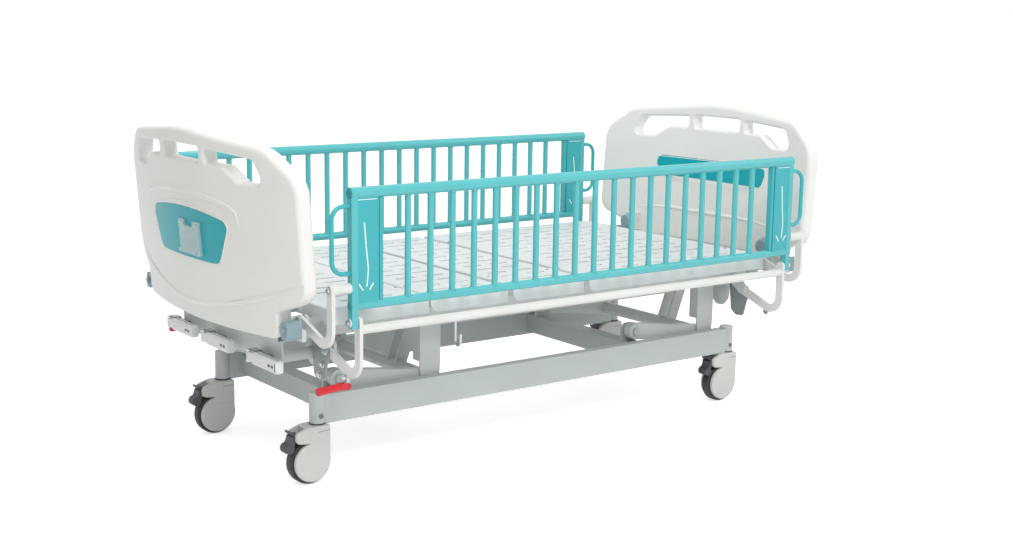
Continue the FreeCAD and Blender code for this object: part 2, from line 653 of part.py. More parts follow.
def lift_arm_set(base_x):
    """Two arms, the torque tube between them and the pair of levers on the tube."""
    arms = [lift_arm(base_x, side) for side in (-1, 1)]
    pivot_x = base_x + LIFT_RUN
    tube_y = LIFT_ARM_Y - LIFT_ARM_WIDTH / 2
    tube = rod(Vector(pivot_x, -tube_y, LEG_PIVOT_Z), Vector(pivot_x, tube_y, LEG_PIVOT_Z),
               TORQUE_TUBE_RADIUS)
    for side in (-1, 1):
        tube = tube.cut(rod(Vector(pivot_x, side * tube_y, LEG_PIVOT_Z),
                            Vector(pivot_x, side * (tube_y - TORQUE_TUBE_SOCKET), LEG_PIVOT_Z),
                            LIFT_BOLT_RADIUS + RUNNING_CLEARANCE))
    levers = []
    for y in LEVER_Y:
        low = y - LEVER_THICKNESS / 2
        lever = plate_along([Vector(pivot_x, low, LEG_PIVOT_Z),
                             Vector(pivot_x + LEVER_DX, low, LEG_PIVOT_Z + LEVER_DZ)],
                            LEVER_WIDTH, Vector(0, LEVER_THICKNESS, 0))
        lever = lever.cut(rod(Vector(pivot_x, low, LEG_PIVOT_Z),
                              Vector(pivot_x, low + LEVER_THICKNESS, LEG_PIVOT_Z), TORQUE_TUBE_RADIUS))
        lever = lever.cut(rod(Vector(pivot_x + LEVER_DX, low, LEG_PIVOT_Z + LEVER_DZ),
                              Vector(pivot_x + LEVER_DX, low + LEVER_THICKNESS, LEG_PIVOT_Z + LEVER_DZ),
                              LINK_PIN_RADIUS + RUNNING_CLEARANCE))
        levers.append(lever)
    return arms + [tube] + levers


def link_rod():
    """Long rod that joins the lever pairs, with its two cross pins."""
    z = LEG_PIVOT_Z + LEVER_DZ
    y = sum(LEVER_Y) / 2
    ends = [LEG_FOOT_X + LEVER_DX, LEG_HEAD_X + LEVER_DX]
    pieces = [rod(Vector(ends[0], y, z), Vector(ends[1], y, z), LINK_ROD_RADIUS)]
    reach = (LEVER_Y[1] - LEVER_Y[0]) / 2 - LEVER_THICKNESS / 2 - RESTING_GAP
    pin_reach = reach + RESTING_GAP + LEVER_THICKNESS
    for x in ends:
        pieces.append(rod(Vector(x, y - reach, z), Vector(x, y + reach, z), LINK_EYE_RADIUS))
        pieces.append(rod(Vector(x, y - pin_reach, z), Vector(x, y + pin_reach, z), LINK_PIN_RADIUS))
    return fuse(pieces)


def make_lift():
    save("lift_arms_foot", *lift_arm_set(BASE_PIVOT_FOOT_X))
    save("lift_arms_head", *lift_arm_set(BASE_PIVOT_HEAD_X))
    save("lift_link_rod", link_rod())


# ---------------------------------------------------------------- bed frame

def frame_leg(pivot_x, side):
    """Pressed channel that hangs from the frame beam, open towards the middle of the bed."""
    face_y = LEG_FACE_Y
    half = LEG_WIDTH / 2
    top = FRAME_TOP_Z - LEG_TOP_DROP
    hip = LEG_PIVOT_Z + LEG_FLANGE_RISE
    toe = LEG_PIVOT_Z - LEG_TOE_RADIUS
    corners = [(pivot_x - half, top), (pivot_x + half, top), (pivot_x + half, hip),
               (pivot_x + LEG_TOE_RADIUS, toe), (pivot_x - LEG_TOE_RADIUS, toe), (pivot_x - half, hip)]
    radii = [0, 0, LEG_HIP_ROUND, LEG_TOE_ROUND, LEG_TOE_ROUND, LEG_HIP_ROUND]
    pieces = [rounded_outline(corners, radii, "y", face_y).extrude(Vector(0, -LEG_PLATE, 0))]
    for edge in (-1, 1):
        x_pair = (pivot_x + edge * half, pivot_x + edge * (half - LEG_PLATE))
        pieces.append(box(x_pair, (face_y, face_y - LEG_DEPTH), (hip + LEG_FLANGE_CUT, top)))
    pieces.append(box((pivot_x - half + LEG_PLATE, pivot_x + half - LEG_PLATE), (face_y, FRAME_INNER_Y),
                      (FRAME_BOTTOM_Z + LEG_PLATE, FRAME_TOP_Z - LEG_PLATE)))
    inner = LIFT_ARM_Y + LIFT_ARM_WIDTH / 2
    head_face = face_y + BOLT_HEAD_HEIGHT
    pieces.append(rod(Vector(pivot_x, inner - LIFT_ARM_WIDTH, LEG_PIVOT_Z),
                      Vector(pivot_x, face_y, LEG_PIVOT_Z), LIFT_BOLT_RADIUS))
    pieces.append(rod(Vector(pivot_x, face_y - LEG_PLATE, LEG_PIVOT_Z),
                      Vector(pivot_x, head_face, LEG_PIVOT_Z), BOLT_HEAD_RADIUS))
    leg = fuse(pieces)
    return leg if side > 0 else mirror_y(leg)


def frame_beam(side):
    return rect_tube_x((-FRAME_END_X, FRAME_END_X), side * FRAME_BEAM_Y, FRAME_BOTTOM_Z,
                       FRAME_BEAM_WIDTH, FRAME_BEAM_HEIGHT)


def cross_members():
    """End members outside the beams' ends, and cross tubes under the seat and the back."""
    pieces = []
    for end in ENDS.values():
        pieces.append(rect_tube_y(end * (FRAME_END_X + FRAME_BEAM_WIDTH / 2),
                                  (-FRAME_OUTER_Y, FRAME_OUTER_Y), FRAME_BOTTOM_Z,
                                  FRAME_BEAM_WIDTH, FRAME_BEAM_HEIGHT))
    tubes = [THIGH_JOINT_X + HINGE_TUBE_OFFSET, BACK_JOINT_X - HINGE_TUBE_OFFSET, BACK_TUBE_X, CALF_TUBE_X]
    for x in tubes:
        pieces.append(rect_tube_y(x, (-FRAME_INNER_Y, FRAME_INNER_Y), FRAME_BOTTOM_Z + CROSS_TUBE_RISE,
                                  CROSS_TUBE_WIDTH, CROSS_TUBE_HEIGHT))
    for side in SIDES.values():
        pieces.append(hinge_lug(BACK_JOINT_X, -1, side))
        pieces.append(hinge_lug(THIGH_JOINT_X, 1, side))
    return pieces


def hinge_lug(joint_x, towards, side):
    """Cranked lug that rises from a cross tube between two sections and holds a hinge pin."""
    low = FRAME_BOTTOM_Z + CROSS_TUBE_RISE + CROSS_TUBE_HEIGHT
    half = HINGE_LUG_WIDTH / 2
    y_pair = (side * HINGE_LUG_Y, side * (HINGE_LUG_Y + HINGE_LUG_THICKNESS))
    foot = box((joint_x + towards * HINGE_TUBE_OFFSET, joint_x - towards * half), y_pair,
               (low, low + HINGE_LUG_WIDTH))
    upright = box((joint_x - half, joint_x + half), y_pair, (low, HINGE_Z))
    crown = rod(Vector(joint_x, y_pair[0], HINGE_Z), Vector(joint_x, y_pair[1], HINGE_Z), half)
    pin_end = side * (HINGE_LUG_Y + HINGE_LUG_THICKNESS + RESTING_GAP + HINGE_KNUCKLE_LENGTH)
    pin = rod(Vector(joint_x, y_pair[0], HINGE_Z), Vector(joint_x, pin_end, HINGE_Z), HINGE_PIN_RADIUS)
    return fuse([foot, upright, crown, pin])


def hinge_knuckle(joint_x, away, side):
    """Moulded knuckle of a moving section, bored for the hinge pin; the section lies on the away side."""
    start = side * (HINGE_LUG_Y + HINGE_LUG_THICKNESS + RESTING_GAP)
    end = start + side * HINGE_KNUCKLE_LENGTH
    barrel = rod(Vector(joint_x, start, HINGE_Z), Vector(joint_x, end, HINGE_Z), HINGE_KNUCKLE_RADIUS)
    web = box((joint_x, joint_x + away * (HINGE_GAP + DECK_SKIRT / 2)), (start, end),
              (HINGE_Z - HINGE_KNUCKLE_RADIUS, DECK_TOP_Z - DECK_PLATE))
    return barrel.fuse(web)


def with_knuckles(section, joint_x, away):
    """Add a section's two knuckles and drill them for the pins."""
    joined = fuse([section] + [hinge_knuckle(joint_x, away, side) for side in SIDES.values()])
    reach = HINGE_LUG_Y + HINGE_LUG_THICKNESS + HINGE_KNUCKLE_LENGTH + SIDE_GAP
    return joined.cut(rod(Vector(joint_x, -reach, HINGE_Z), Vector(joint_x, reach, HINGE_Z),
                          HINGE_PIN_RADIUS + RUNNING_CLEARANCE))


def bag_hook(side):
    """Bent wire hook on the outer side of the frame beam."""
    inner = side * (FRAME_OUTER_Y + HOOK_WIRE_RADIUS)
    outer = inner + side * HOOK_REACH
    top = FRAME_BOTTOM_Z + HOOK_ROOT_RISE
    bottom = FRAME_BOTTOM_Z - HOOK_DROP
    lowest = Vector(HOOK_X, inner + side * HOOK_REACH / 2, bottom - HOOK_REACH / 2)
    tip = Vector(HOOK_X, outer, bottom + HOOK_TIP_RISE)
    path = Part.Wire([
        Part.LineSegment(Vector(HOOK_X, inner, top), Vector(HOOK_X, inner, bottom)).toShape(),
        Part.Arc(Vector(HOOK_X, inner, bottom), lowest, Vector(HOOK_X, outer, bottom)).toShape(),
        Part.LineSegment(Vector(HOOK_X, outer, bottom), tip).toShape()])
    section = Part.Wire([Part.makeCircle(HOOK_WIRE_RADIUS, Vector(HOOK_X, inner, top), Z_AXIS)])
    return path.makePipeShell([section], True, True)


def make_frame():
    for side_name, side in SIDES.items():
        save("frame_beam_" + side_name, frame_beam(side))
    save("frame_cross_members", *cross_members())
    save("frame_legs", *[frame_leg(x, side) for x in (LEG_FOOT_X, LEG_HEAD_X) for side in SIDES.values()])
    save("bag_hooks", bag_hook(-1), bag_hook(1))


# ---------------------------------------------------------------- deck

def deck_section(x_low, x_high):
    """Moulded tray with a skirt, rounded lower corners and rows of vent slots."""
    width = (-DECK_HALF_WIDTH, DECK_HALF_WIDTH)
    profile = rounded_outline(
        [(x_low, DECK_BOTTOM_Z), (x_high, DECK_BOTTOM_Z), (x_high, DECK_TOP_Z), (x_low, DECK_TOP_Z)],
        [DECK_CORNER, 0, 5, 5], "y", width[0])
    block = profile.extrude(Vector(0, 2 * DECK_HALF_WIDTH, 0))
    hollow = box((x_low + DECK_SKIRT, x_high - DECK_SKIRT),
                 (width[0] + DECK_SKIRT, width[1] - DECK_SKIRT), (DECK_BOTTOM_Z - 1, DECK_TOP_Z - DECK_PLATE))
    tray = block.cut(hollow)
    free = x_high - x_low - 2 * SLOT_MARGIN
    columns = int((free - SLOT_LENGTH) // SLOT_STEP_X) + 1
    start = (x_low + x_high) / 2 - (columns - 1) * SLOT_STEP_X / 2
    rows = int((DECK_HALF_WIDTH - SLOT_MARGIN) // SLOT_STEP_Y)
    slots = []
    for column in range(columns):
        for row in range(-rows, rows + 1):
            x = start + column * SLOT_STEP_X
            y = row * SLOT_STEP_Y
            slots.append(box((x - SLOT_LENGTH / 2, x + SLOT_LENGTH / 2),
                             (y - SLOT_WIDTH / 2, y + SLOT_WIDTH / 2),
                             (DECK_TOP_Z - DECK_PLATE - 1, DECK_TOP_Z + 1)))
    return tray.cut(Part.makeCompound(slots))


def subframe(x_low, x_high):
    """Welded tube frame under a moving section."""
    z = (DECK_TOP_Z - DECK_PLATE - SUBFRAME_TUBE, DECK_TOP_Z - DECK_PLATE)
    y_outer = SUBFRAME_Y
    pieces = []
    for side in (-1, 1):
        pieces.append(box((x_low, x_high), (side * y_outer, side * (y_outer - SUBFRAME_TUBE)), z))
    for x in (x_low, x_high - SUBFRAME_TUBE):
        pieces.append(box((x, x + SUBFRAME_TUBE), (-y_outer, y_outer), z))
    return fuse(pieces)


def calf_lug(side):
    """Lug below the thigh section's foot end that holds the pin of the calf hinge."""
    y_pair = (side * CALF_LUG_Y, side * (CALF_LUG_Y + HINGE_LUG_THICKNESS))
    start = Vector(CALF_JOINT_X, y_pair[0], CALF_HINGE_Z)
    barrel = rod(start, Vector(CALF_JOINT_X, y_pair[1], CALF_HINGE_Z), CALF_KNUCKLE_RADIUS)
    web = box((CALF_JOINT_X, CALF_JOINT_X + CALF_HINGE_GAP + DECK_SKIRT), y_pair,
              (CALF_HINGE_Z, CALF_HINGE_Z + CALF_LUG_RISE))
    pin_end = Vector(CALF_JOINT_X, y_pair[1] + side * (RESTING_GAP + HINGE_KNUCKLE_LENGTH), CALF_HINGE_Z)
    return fuse([barrel, web, rod(start, pin_end, CALF_PIN_RADIUS)])


def with_calf_knuckles(section):
    """Add the calf section's two bored knuckles and notch its skirt where the lugs stand."""
    inner = CALF_LUG_Y + HINGE_LUG_THICKNESS + RESTING_GAP
    skirt_x = CALF_JOINT_X - CALF_HINGE_GAP - DECK_SKIRT
    top = CALF_HINGE_Z + CALF_KNUCKLE_RADIUS
    pieces = [section]
    for side in SIDES.values():
        y_pair = (side * inner, side * (inner + HINGE_KNUCKLE_LENGTH))
        pieces.append(rod(Vector(CALF_JOINT_X, y_pair[0], CALF_HINGE_Z),
                          Vector(CALF_JOINT_X, y_pair[1], CALF_HINGE_Z), CALF_KNUCKLE_RADIUS))
        pieces.append(box((skirt_x, CALF_JOINT_X), y_pair, (DECK_BOTTOM_Z, top)))
    joined = fuse(pieces)
    for side in SIDES.values():
        joined = joined.cut(box((skirt_x, CALF_JOINT_X), (side * (CALF_LUG_Y - SIDE_GAP), side * inner),
                                (DECK_BOTTOM_Z, top + SIDE_GAP)))
    reach = inner + HINGE_KNUCKLE_LENGTH
    return joined.cut(rod(Vector(CALF_JOINT_X, -reach, CALF_HINGE_Z),
                          Vector(CALF_JOINT_X, reach, CALF_HINGE_Z), CALF_PIN_RADIUS + RUNNING_CLEARANCE))


def make_deck():
    sections = {
        "calf": (DECK_FOOT_X, CALF_JOINT_X - CALF_HINGE_GAP),
        "thigh": (CALF_JOINT_X + CALF_HINGE_GAP, THIGH_JOINT_X - HINGE_GAP),
        "seat": (THIGH_JOINT_X + HINGE_GAP, BACK_JOINT_X - HINGE_GAP),
        "back": (BACK_JOINT_X + HINGE_GAP, DECK_HEAD_X),
    }
    for name, (low, high) in sections.items():
        section = deck_section(low, high)
        if name == "back":
            section = with_knuckles(section, BACK_JOINT_X, 1)
        if name == "thigh":
            section = with_knuckles(section, THIGH_JOINT_X, -1)
            section = fuse([section] + [calf_lug(side) for side in SIDES.values()])
        if name == "calf":
            section = with_calf_knuckles(section)
        save("deck_" + name, section)
    inset = DECK_SKIRT + RESTING_GAP
    for name in ("back", "thigh", "calf"):
        low, high = sections[name]
        save(name + "_subframe", subframe(low + inset, high - inset))


# ---------------------------------------------------------------- end boards

def board_arc_radius():
    return (BOARD_HALF_WIDTH ** 2 + BOARD_SAGITTA ** 2) / (2 * BOARD_SAGITTA)


def arc_at(radius, level):
    """Arc in plan about the boards' centre of curvature, wide enough for the whole board."""
    centre_x = BOARD_OUTER_X - board_arc_radius()
    reach = BOARD_HALF_WIDTH + BOARD_EDGE_ROUND
    side_x = centre_x + math.sqrt(radius ** 2 - reach ** 2)
    return Part.Arc(Vector(side_x, -reach, level), Vector(centre_x + radius, 0, level),
                    Vector(side_x, reach, level)).toShape()


def curved_band(outer_offset, thickness):
    """Upright curved wall; its convex face lies outer_offset outside the board's own outer face."""
    level = BOARD_BOTTOM_Z - BOARD_EDGE_ROUND
    height = BOARD_TOP_Z + BOARD_EDGE_ROUND - level
    outer = arc_at(board_arc_radius() + outer_offset, level)
    inner = arc_at(board_arc_radius() + outer_offset - thickness, level)
    ends = [Part.LineSegment(outer.Vertexes[index].Point, inner.Vertexes[index].Point).toShape()
            for index in (0, 1)]
    wire = Part.Wire(Part.__sortEdges__([outer, ends[1], inner, ends[0]]))
    return Part.Face(wire).extrude(Vector(0, 0, height))


def lean(shape):
    """Tip a head-end board piece outwards about the height where the lean starts."""
    shape = shape.copy()
    shape.rotate(Vector(BOARD_OUTER_X, 0, BOARD_LEAN_Z), Y_AXIS, BOARD_LEAN)
    return shape


def board_outline():
    right = [(BOARD_CHIN_Y, BOARD_BOTTOM_Z), (BOARD_NOTCH_Y, BOARD_NOTCH_Z), (BOARD_HALF_WIDTH, BOARD_EAR_Z),
             (BOARD_HALF_WIDTH, BOARD_SIDE_TOP_Z), (BOARD_SHOULDER_Y, BOARD_SHOULDER_Z), (0, BOARD_TOP_Z)]
    radii = [BOARD_CHIN_ROUND, BOARD_NOTCH_ROUND, BOARD_EAR_ROUND, BOARD_SIDE_ROUND, BOARD_SHOULDER_ROUND,
             BOARD_TOP_ROUND]
    left = [(-y, z) for y, z in reversed(right[:-1])]
    return rounded_outline(right + left, radii + list(reversed(radii[:-1])), "x", OUTLINE_X)


def grip_openings():
    """Three hand openings under the top hand rail: outlines across X."""
    rail_z = BOARD_TOP_Z - GRIP_RAIL_DEPTH
    inner = GRIP_POST_Y - GRIP_POST_WIDTH / 2
    outer = GRIP_POST_Y + GRIP_POST_WIDTH / 2
    slope = GRIP_EDGE_ROUND / GRIP_SLOT_TIP_Y
    middle = [(GRIP_TAPER - inner, GRIP_SLOT_BOTTOM_Z), (inner - GRIP_TAPER, GRIP_SLOT_BOTTOM_Z),
              (inner, rail_z), (-inner, rail_z)]
    openings = [rounded_outline(middle, [GRIP_SLOT_ROUND] * len(middle), "x", OUTLINE_X)]
    dip_z = GRIP_SLOT_BOTTOM_Z - GRIP_DIP
    side = [(outer + GRIP_TAPER, GRIP_SLOT_BOTTOM_Z), (GRIP_DIP_START_Y, GRIP_SLOT_BOTTOM_Z),
            (GRIP_DIP_END_Y, dip_z), (GRIP_SLOT_END_Y - GRIP_TAPER, dip_z),
            (GRIP_SLOT_END_Y, dip_z + 2 * GRIP_SLOT_ROUND),
            (GRIP_SLOT_TIP_Y, BOARD_TOP_Z - GRIP_TIP_DROP), (outer, rail_z - slope * outer)]
    large = 3 * GRIP_SLOT_ROUND
    radii = [GRIP_SLOT_ROUND, large, large, GRIP_SLOT_ROUND, GRIP_SLOT_ROUND, 1.5 * GRIP_SLOT_ROUND,
             GRIP_SLOT_ROUND]
    openings.append(rounded_outline(side, radii, "x", OUTLINE_X))
    mirrored = [(-y, z) for y, z in reversed(side)]
    openings.append(rounded_outline(mirrored, list(reversed(radii)), "x", OUTLINE_X))
    return openings


def crease_outline():
    """Lower part of the board's outer face, below a sagging crease."""
    reach = BOARD_HALF_WIDTH + BOARD_EDGE_ROUND
    low = BOARD_BOTTOM_Z - BOARD_EDGE_ROUND
    points = [(-reach, low), (reach, low), (reach, CREASE_SIDE_Z), (0, CREASE_MIDDLE_Z),
              (-reach, CREASE_SIDE_Z)]
    return rounded_outline(points, [0, 0, 0, CREASE_ROUND, 0], "x", OUTLINE_X)


def panel_outline(sizes, crown, growth):
    """Trapezoid with rounded corners whose top edge may rise in the middle, grown all round."""
    top, bottom, z_low, z_high = sizes
    points = [(-bottom - growth, z_low - growth), (bottom + growth, z_low - growth),
              (top + growth, z_high + growth), (-top - growth, z_high + growth)]
    radii = [PANEL_ROUND + growth] * len(points)
    if crown > 0:
        points.insert(3, (0, z_high + crown + growth))
        radii.insert(3, PANEL_CROWN_ROUND)
    return rounded_outline(points, radii, "x", OUTLINE_X)


def through(face):
    return face.extrude(Vector(2 * (BOARD_OUTER_X - OUTLINE_X), 0, 0))


def panel(sizes, inner):
    """Coloured inlay that follows the board's curve and stands a little proud of it."""
    proud = PANEL_THICKNESS - PANEL_RECESS
    offset = proud if not inner else -BOARD_THICKNESS + PANEL_RECESS
    crown = 0 if inner else PANEL_CROWN
    return curved_band(offset, PANEL_THICKNESS).common(through(panel_outline(sizes, crown, 0)))


def rim_edges(shape, face_outline):
    """Edges of a board that lie on its two curved faces and follow the outline given."""
    walls = [face for face in face_outline.Faces if abs(face.normalAt(0, 0).x) < 0.5]
    chosen = []
    for edge in shape.Edges:
        middle = edge.valueAt((edge.FirstParameter + edge.LastParameter) / 2)
        vertex = Part.Vertex(middle)
        if is_cross_edge(edge):
            continue
        if min(face.distToShape(vertex)[0] for face in walls) < 1e-3:
            chosen.append(edge)
    return chosen


def end_board():
    outline = through(board_outline())
    body = curved_band(0, BOARD_THICKNESS).common(outline)
    body = body.makeFillet(BOARD_EDGE_ROUND, rim_edges(body, outline))
    for face in grip_openings():
        opening = through(face)
        body = body.cut(opening)
        body = body.makeFillet(GRIP_EDGE_ROUND, rim_edges(body, opening))
    outer_recess = curved_band(0, PANEL_RECESS)
    outer_recess = outer_recess.common(through(panel_outline(OUTER_PANEL, PANEL_CROWN, PANEL_FIT)))
    inner_recess = curved_band(-BOARD_THICKNESS + PANEL_RECESS, PANEL_RECESS)
    inner_recess = inner_recess.common(through(panel_outline(INNER_PANEL, 0, PANEL_FIT)))
    reach = BOARD_HALF_WIDTH + BOARD_EDGE_ROUND
    cut_back = curved_band(-BOARD_LIP, BOARD_THICKNESS)
    cut_back = cut_back.common(box((0, 2 * BOARD_OUTER_X), (-reach, reach), (0, BOARD_LIP_Z)))
    crease = curved_band(BOARD_EDGE_ROUND, BOARD_EDGE_ROUND + CREASE_DEPTH).common(through(crease_outline()))
    return body.cut(outer_recess).cut(inner_recess).cut(cut_back).cut(crease)


def is_cross_edge(edge):
    """True for the edges that run along X, through the board's thickness."""
    ends = [vertex.Point for vertex in edge.Vertexes]
    if len(ends) < 2:
        return False
    step = ends[1].sub(ends[0])
    return abs(step.x) > 0.8 * step.Length


def card_holder():
    """Clear pocket for a name card, notched at the top, on the outer inlay."""
    y_low = CARD_HOLDER_Y - CARD_HOLDER_WIDTH / 2
    y_high = CARD_HOLDER_Y + CARD_HOLDER_WIDTH / 2
    low = CARD_HOLDER_Z - CARD_HOLDER_HEIGHT / 2
    high = CARD_HOLDER_Z + CARD_HOLDER_HEIGHT / 2
    wall = CARD_HOLDER_WALL
    face_x = BOARD_OUTER_X + PANEL_THICKNESS - PANEL_RECESS
    block = box((face_x - CARD_HOLDER_DEPTH, face_x + CARD_HOLDER_DEPTH), (y_low, y_high), (low, high))
    pocket = box((face_x + wall, face_x + CARD_HOLDER_DEPTH - wall), (y_low + wall, y_high - wall),
                 (low + wall, high + wall))
    notch_low = high - CARD_HOLDER_NOTCH_DEPTH
    notch_high = high + CARD_HOLDER_NOTCH_DEPTH
    notch = rounded_outline(
        [(CARD_HOLDER_Y - CARD_HOLDER_NOTCH, notch_low), (CARD_HOLDER_Y + CARD_HOLDER_NOTCH, notch_low),
         (CARD_HOLDER_Y + CARD_HOLDER_NOTCH, notch_high), (CARD_HOLDER_Y - CARD_HOLDER_NOTCH, notch_high)],
        [CARD_HOLDER_NOTCH_ROUND, CARD_HOLDER_NOTCH_ROUND, 0, 0], "x", OUTLINE_X)
    behind = curved_band(PANEL_THICKNESS - PANEL_RECESS, BOARD_THICKNESS)
    return block.cut(pocket).cut(through(notch)).cut(behind)


def board_bracket(side):
    """Steel upright on the frame's end member that the board hooks onto, with an arm to the bumper."""
    start = FRAME_END_X + FRAME_BEAM_WIDTH
    back = start - BOARD_BRACKET_PLATE
    half = BOARD_BRACKET_WIDTH / 2
    y_pair = (side * BOARD_BRACKET_Y - half, side * BOARD_BRACKET_Y + half)
    upright = box((back, start), y_pair, (BOARD_BRACKET_BOTTOM_Z, BOARD_BRACKET_TOP_Z))
    tie = box((back, start), (side * FRAME_OUTER_Y, side * BUMPER_Y[1]),
              (BOARD_BRACKET_BOTTOM_Z, BOARD_BRACKET_TIE_Z))
    pad = box((start, BOARD_OUTER_X), y_pair, (BOARD_LIP_Z + BOARD_BRACKET_PLATE, BOARD_BRACKET_TOP_Z))
    space = curved_band(-BOARD_THICKNESS, BOARD_OUTER_X - FRAME_END_X)
    return fuse([upright, tie, pad.common(lean(space))])


def bumper(side):
    """Corner bumper in the notch beside the board's chin, with its bolt head."""
    start = FRAME_END_X + FRAME_BEAM_WIDTH
    corners = [(BUMPER_Y[0], BUMPER_Z[0]), (BUMPER_Y[1], BUMPER_Z[0]), (BUMPER_Y[1], BUMPER_Z[1]),
               (BUMPER_Y[0], BUMPER_Z[1])]
    block = rounded_outline(corners, [BUMPER_ROUND] * len(corners), "x", start)
    block = block.extrude(Vector(BUMPER_REACH, 0, 0))
    y = (BUMPER_Y[0] + BUMPER_Y[1]) / 2
    z = (BUMPER_Z[0] + BUMPER_Z[1]) / 2
    bolt = rod(Vector(start + BUMPER_REACH, y, z), Vector(start + BUMPER_REACH + BOLT_HEAD_HEIGHT, y, z),
               BUMPER_BOLT_RADIUS)
    piece = fuse([block, bolt])
    return piece if side > 0 else mirror_y(piece)


def board_knob(side):
    """Locking knob on the inner side of a board bracket."""
    x = FRAME_END_X + FRAME_BEAM_WIDTH - BOARD_BRACKET_PLATE
    centre = Vector(x, side * BOARD_BRACKET_Y, BOARD_BRACKET_TOP_Z - BOARD_KNOB_DROP)
    knob = Part.makeCylinder(BOARD_KNOB_RADIUS, BOARD_KNOB_LENGTH, centre, Vector(-1, 0, 0))
    rim = [edge for edge in knob.Edges if edge.BoundBox.XMax < x - BOARD_KNOB_LENGTH + RESTING_GAP]
    return knob.makeFillet(BOARD_KNOB_ROUND, rim)


def make_boards():
    board = end_board()
    leaned = lean(board)
    panels = [lean(panel(OUTER_PANEL, False)), lean(panel(INNER_PANEL, True))]
    brackets = [board_bracket(side) for side in (-1, 1)]
    knobs = [board_knob(side) for side in (-1, 1)] + [bumper(side) for side in (-1, 1)]
    save("headboard", leaned)
    save("headboard_panels", *panels)
    save("footboard", mirror_x(leaned))
    save("footboard_panels", *[mirror_x(piece) for piece in panels])
    save("card_holder", mirror_x(lean(card_holder())))
    save("board_brackets", *(brackets + [mirror_x(piece) for piece in brackets]))
    save("board_knobs", *(knobs + [mirror_x(piece) for piece in knobs]))


# ---------------------------------------------------------------- side rails

def rail_frame():
    """Welded rail: two long tubes, end posts and bars; far side."""
    y = RAIL_Y
    half = RAIL_HALF_LENGTH
    pieces = [rod(Vector(-half, y, RAIL_TOP_Z), Vector(half, y, RAIL_TOP_Z), RAIL_TOP_RADIUS),
              rod(Vector(-half, y, RAIL_BOTTOM_Z), Vector(half, y, RAIL_BOTTOM_Z), RAIL_BOTTOM_RADIUS)]
    first = -(BAR_COUNT - 1) / 2 * BAR_PITCH
    for index in range(BAR_COUNT):
        x = first + index * BAR_PITCH
        pieces.append(rod(Vector(x, y, RAIL_BOTTOM_Z), Vector(x, y, RAIL_TOP_Z), BAR_RADIUS))
    for end in (-1, 1):
        x_pair = (end * (RAIL_POST_X - RAIL_POST_WIDTH / 2), end * (RAIL_POST_X + RAIL_POST_WIDTH / 2))
        y_pair = (y - RAIL_POST_DEPTH / 2, y + RAIL_POST_DEPTH / 2)
        pieces.append(box(x_pair, y_pair, (RAIL_POST_FOOT_Z, RAIL_TOP_Z)))
    frame = fuse(pieces)
    bore = RAIL_PIN_RADIUS + RUNNING_CLEARANCE
    for end in (-1, 1):
        for z in (UPPER_PIVOT_Z + ARM_RISE, LOWER_PIVOT_Z + ARM_RISE):
            frame = frame.cut(rod(Vector(end * RAIL_HALF_LENGTH, y, z),
                                  Vector(end * (RAIL_HALF_LENGTH - RAIL_POST_WIDTH), y, z), bore))
    return frame


def rail_end_plate(end):
    """Flat box cover between the end post and the first bars."""
    post_inner = RAIL_HALF_LENGTH - RAIL_POST_WIDTH
    x_pair = (end * post_inner, end * (RAIL_HALF_LENGTH - END_PLATE_WIDTH))
    y_pair = (RAIL_Y - END_PLATE_DEPTH / 2, RAIL_Y + END_PLATE_DEPTH / 2)
    cover = box(x_pair, y_pair, (RAIL_BOTTOM_Z, RAIL_TOP_Z))
    for z, radius in ((RAIL_TOP_Z, RAIL_TOP_RADIUS), (RAIL_BOTTOM_Z, RAIL_BOTTOM_RADIUS)):
        tube = rod(Vector(-RAIL_HALF_LENGTH, RAIL_Y, z), Vector(RAIL_HALF_LENGTH, RAIL_Y, z), radius)
        cover = cover.cut(tube)
    return cover


def rail_loop(end):
    """Round-bar hand loop on an end post."""
    root = end * RAIL_HALF_LENGTH
    tip = end * (RAIL_HALF_LENGTH + LOOP_REACH)
    straight = tip - end * LOOP_BEND
    diagonal = LOOP_BEND * (1 - math.sqrt(0.5))

    def at(x, z):
        return Vector(x, RAIL_Y, z)

    top_bend = Part.Arc(at(straight, LOOP_TOP_Z), at(tip - end * diagonal, LOOP_TOP_Z - diagonal),
                        at(tip, LOOP_TOP_Z - LOOP_BEND))
    low_bend = Part.Arc(at(tip, LOOP_BOTTOM_Z + LOOP_BEND),
                        at(tip - end * diagonal, LOOP_BOTTOM_Z + diagonal), at(straight, LOOP_BOTTOM_Z))
    path = Part.Wire([
        Part.LineSegment(at(root, LOOP_TOP_Z), at(straight, LOOP_TOP_Z)).toShape(), top_bend.toShape(),
        Part.LineSegment(at(tip, LOOP_TOP_Z - LOOP_BEND), at(tip, LOOP_BOTTOM_Z + LOOP_BEND)).toShape(),
        low_bend.toShape(),
        Part.LineSegment(at(straight, LOOP_BOTTOM_Z), at(root, LOOP_BOTTOM_Z)).toShape()])
    section = Part.Wire([Part.makeCircle(LOOP_RADIUS, at(root, LOOP_TOP_Z), X_AXIS)])
    return path.makePipeShell([section], True, True)


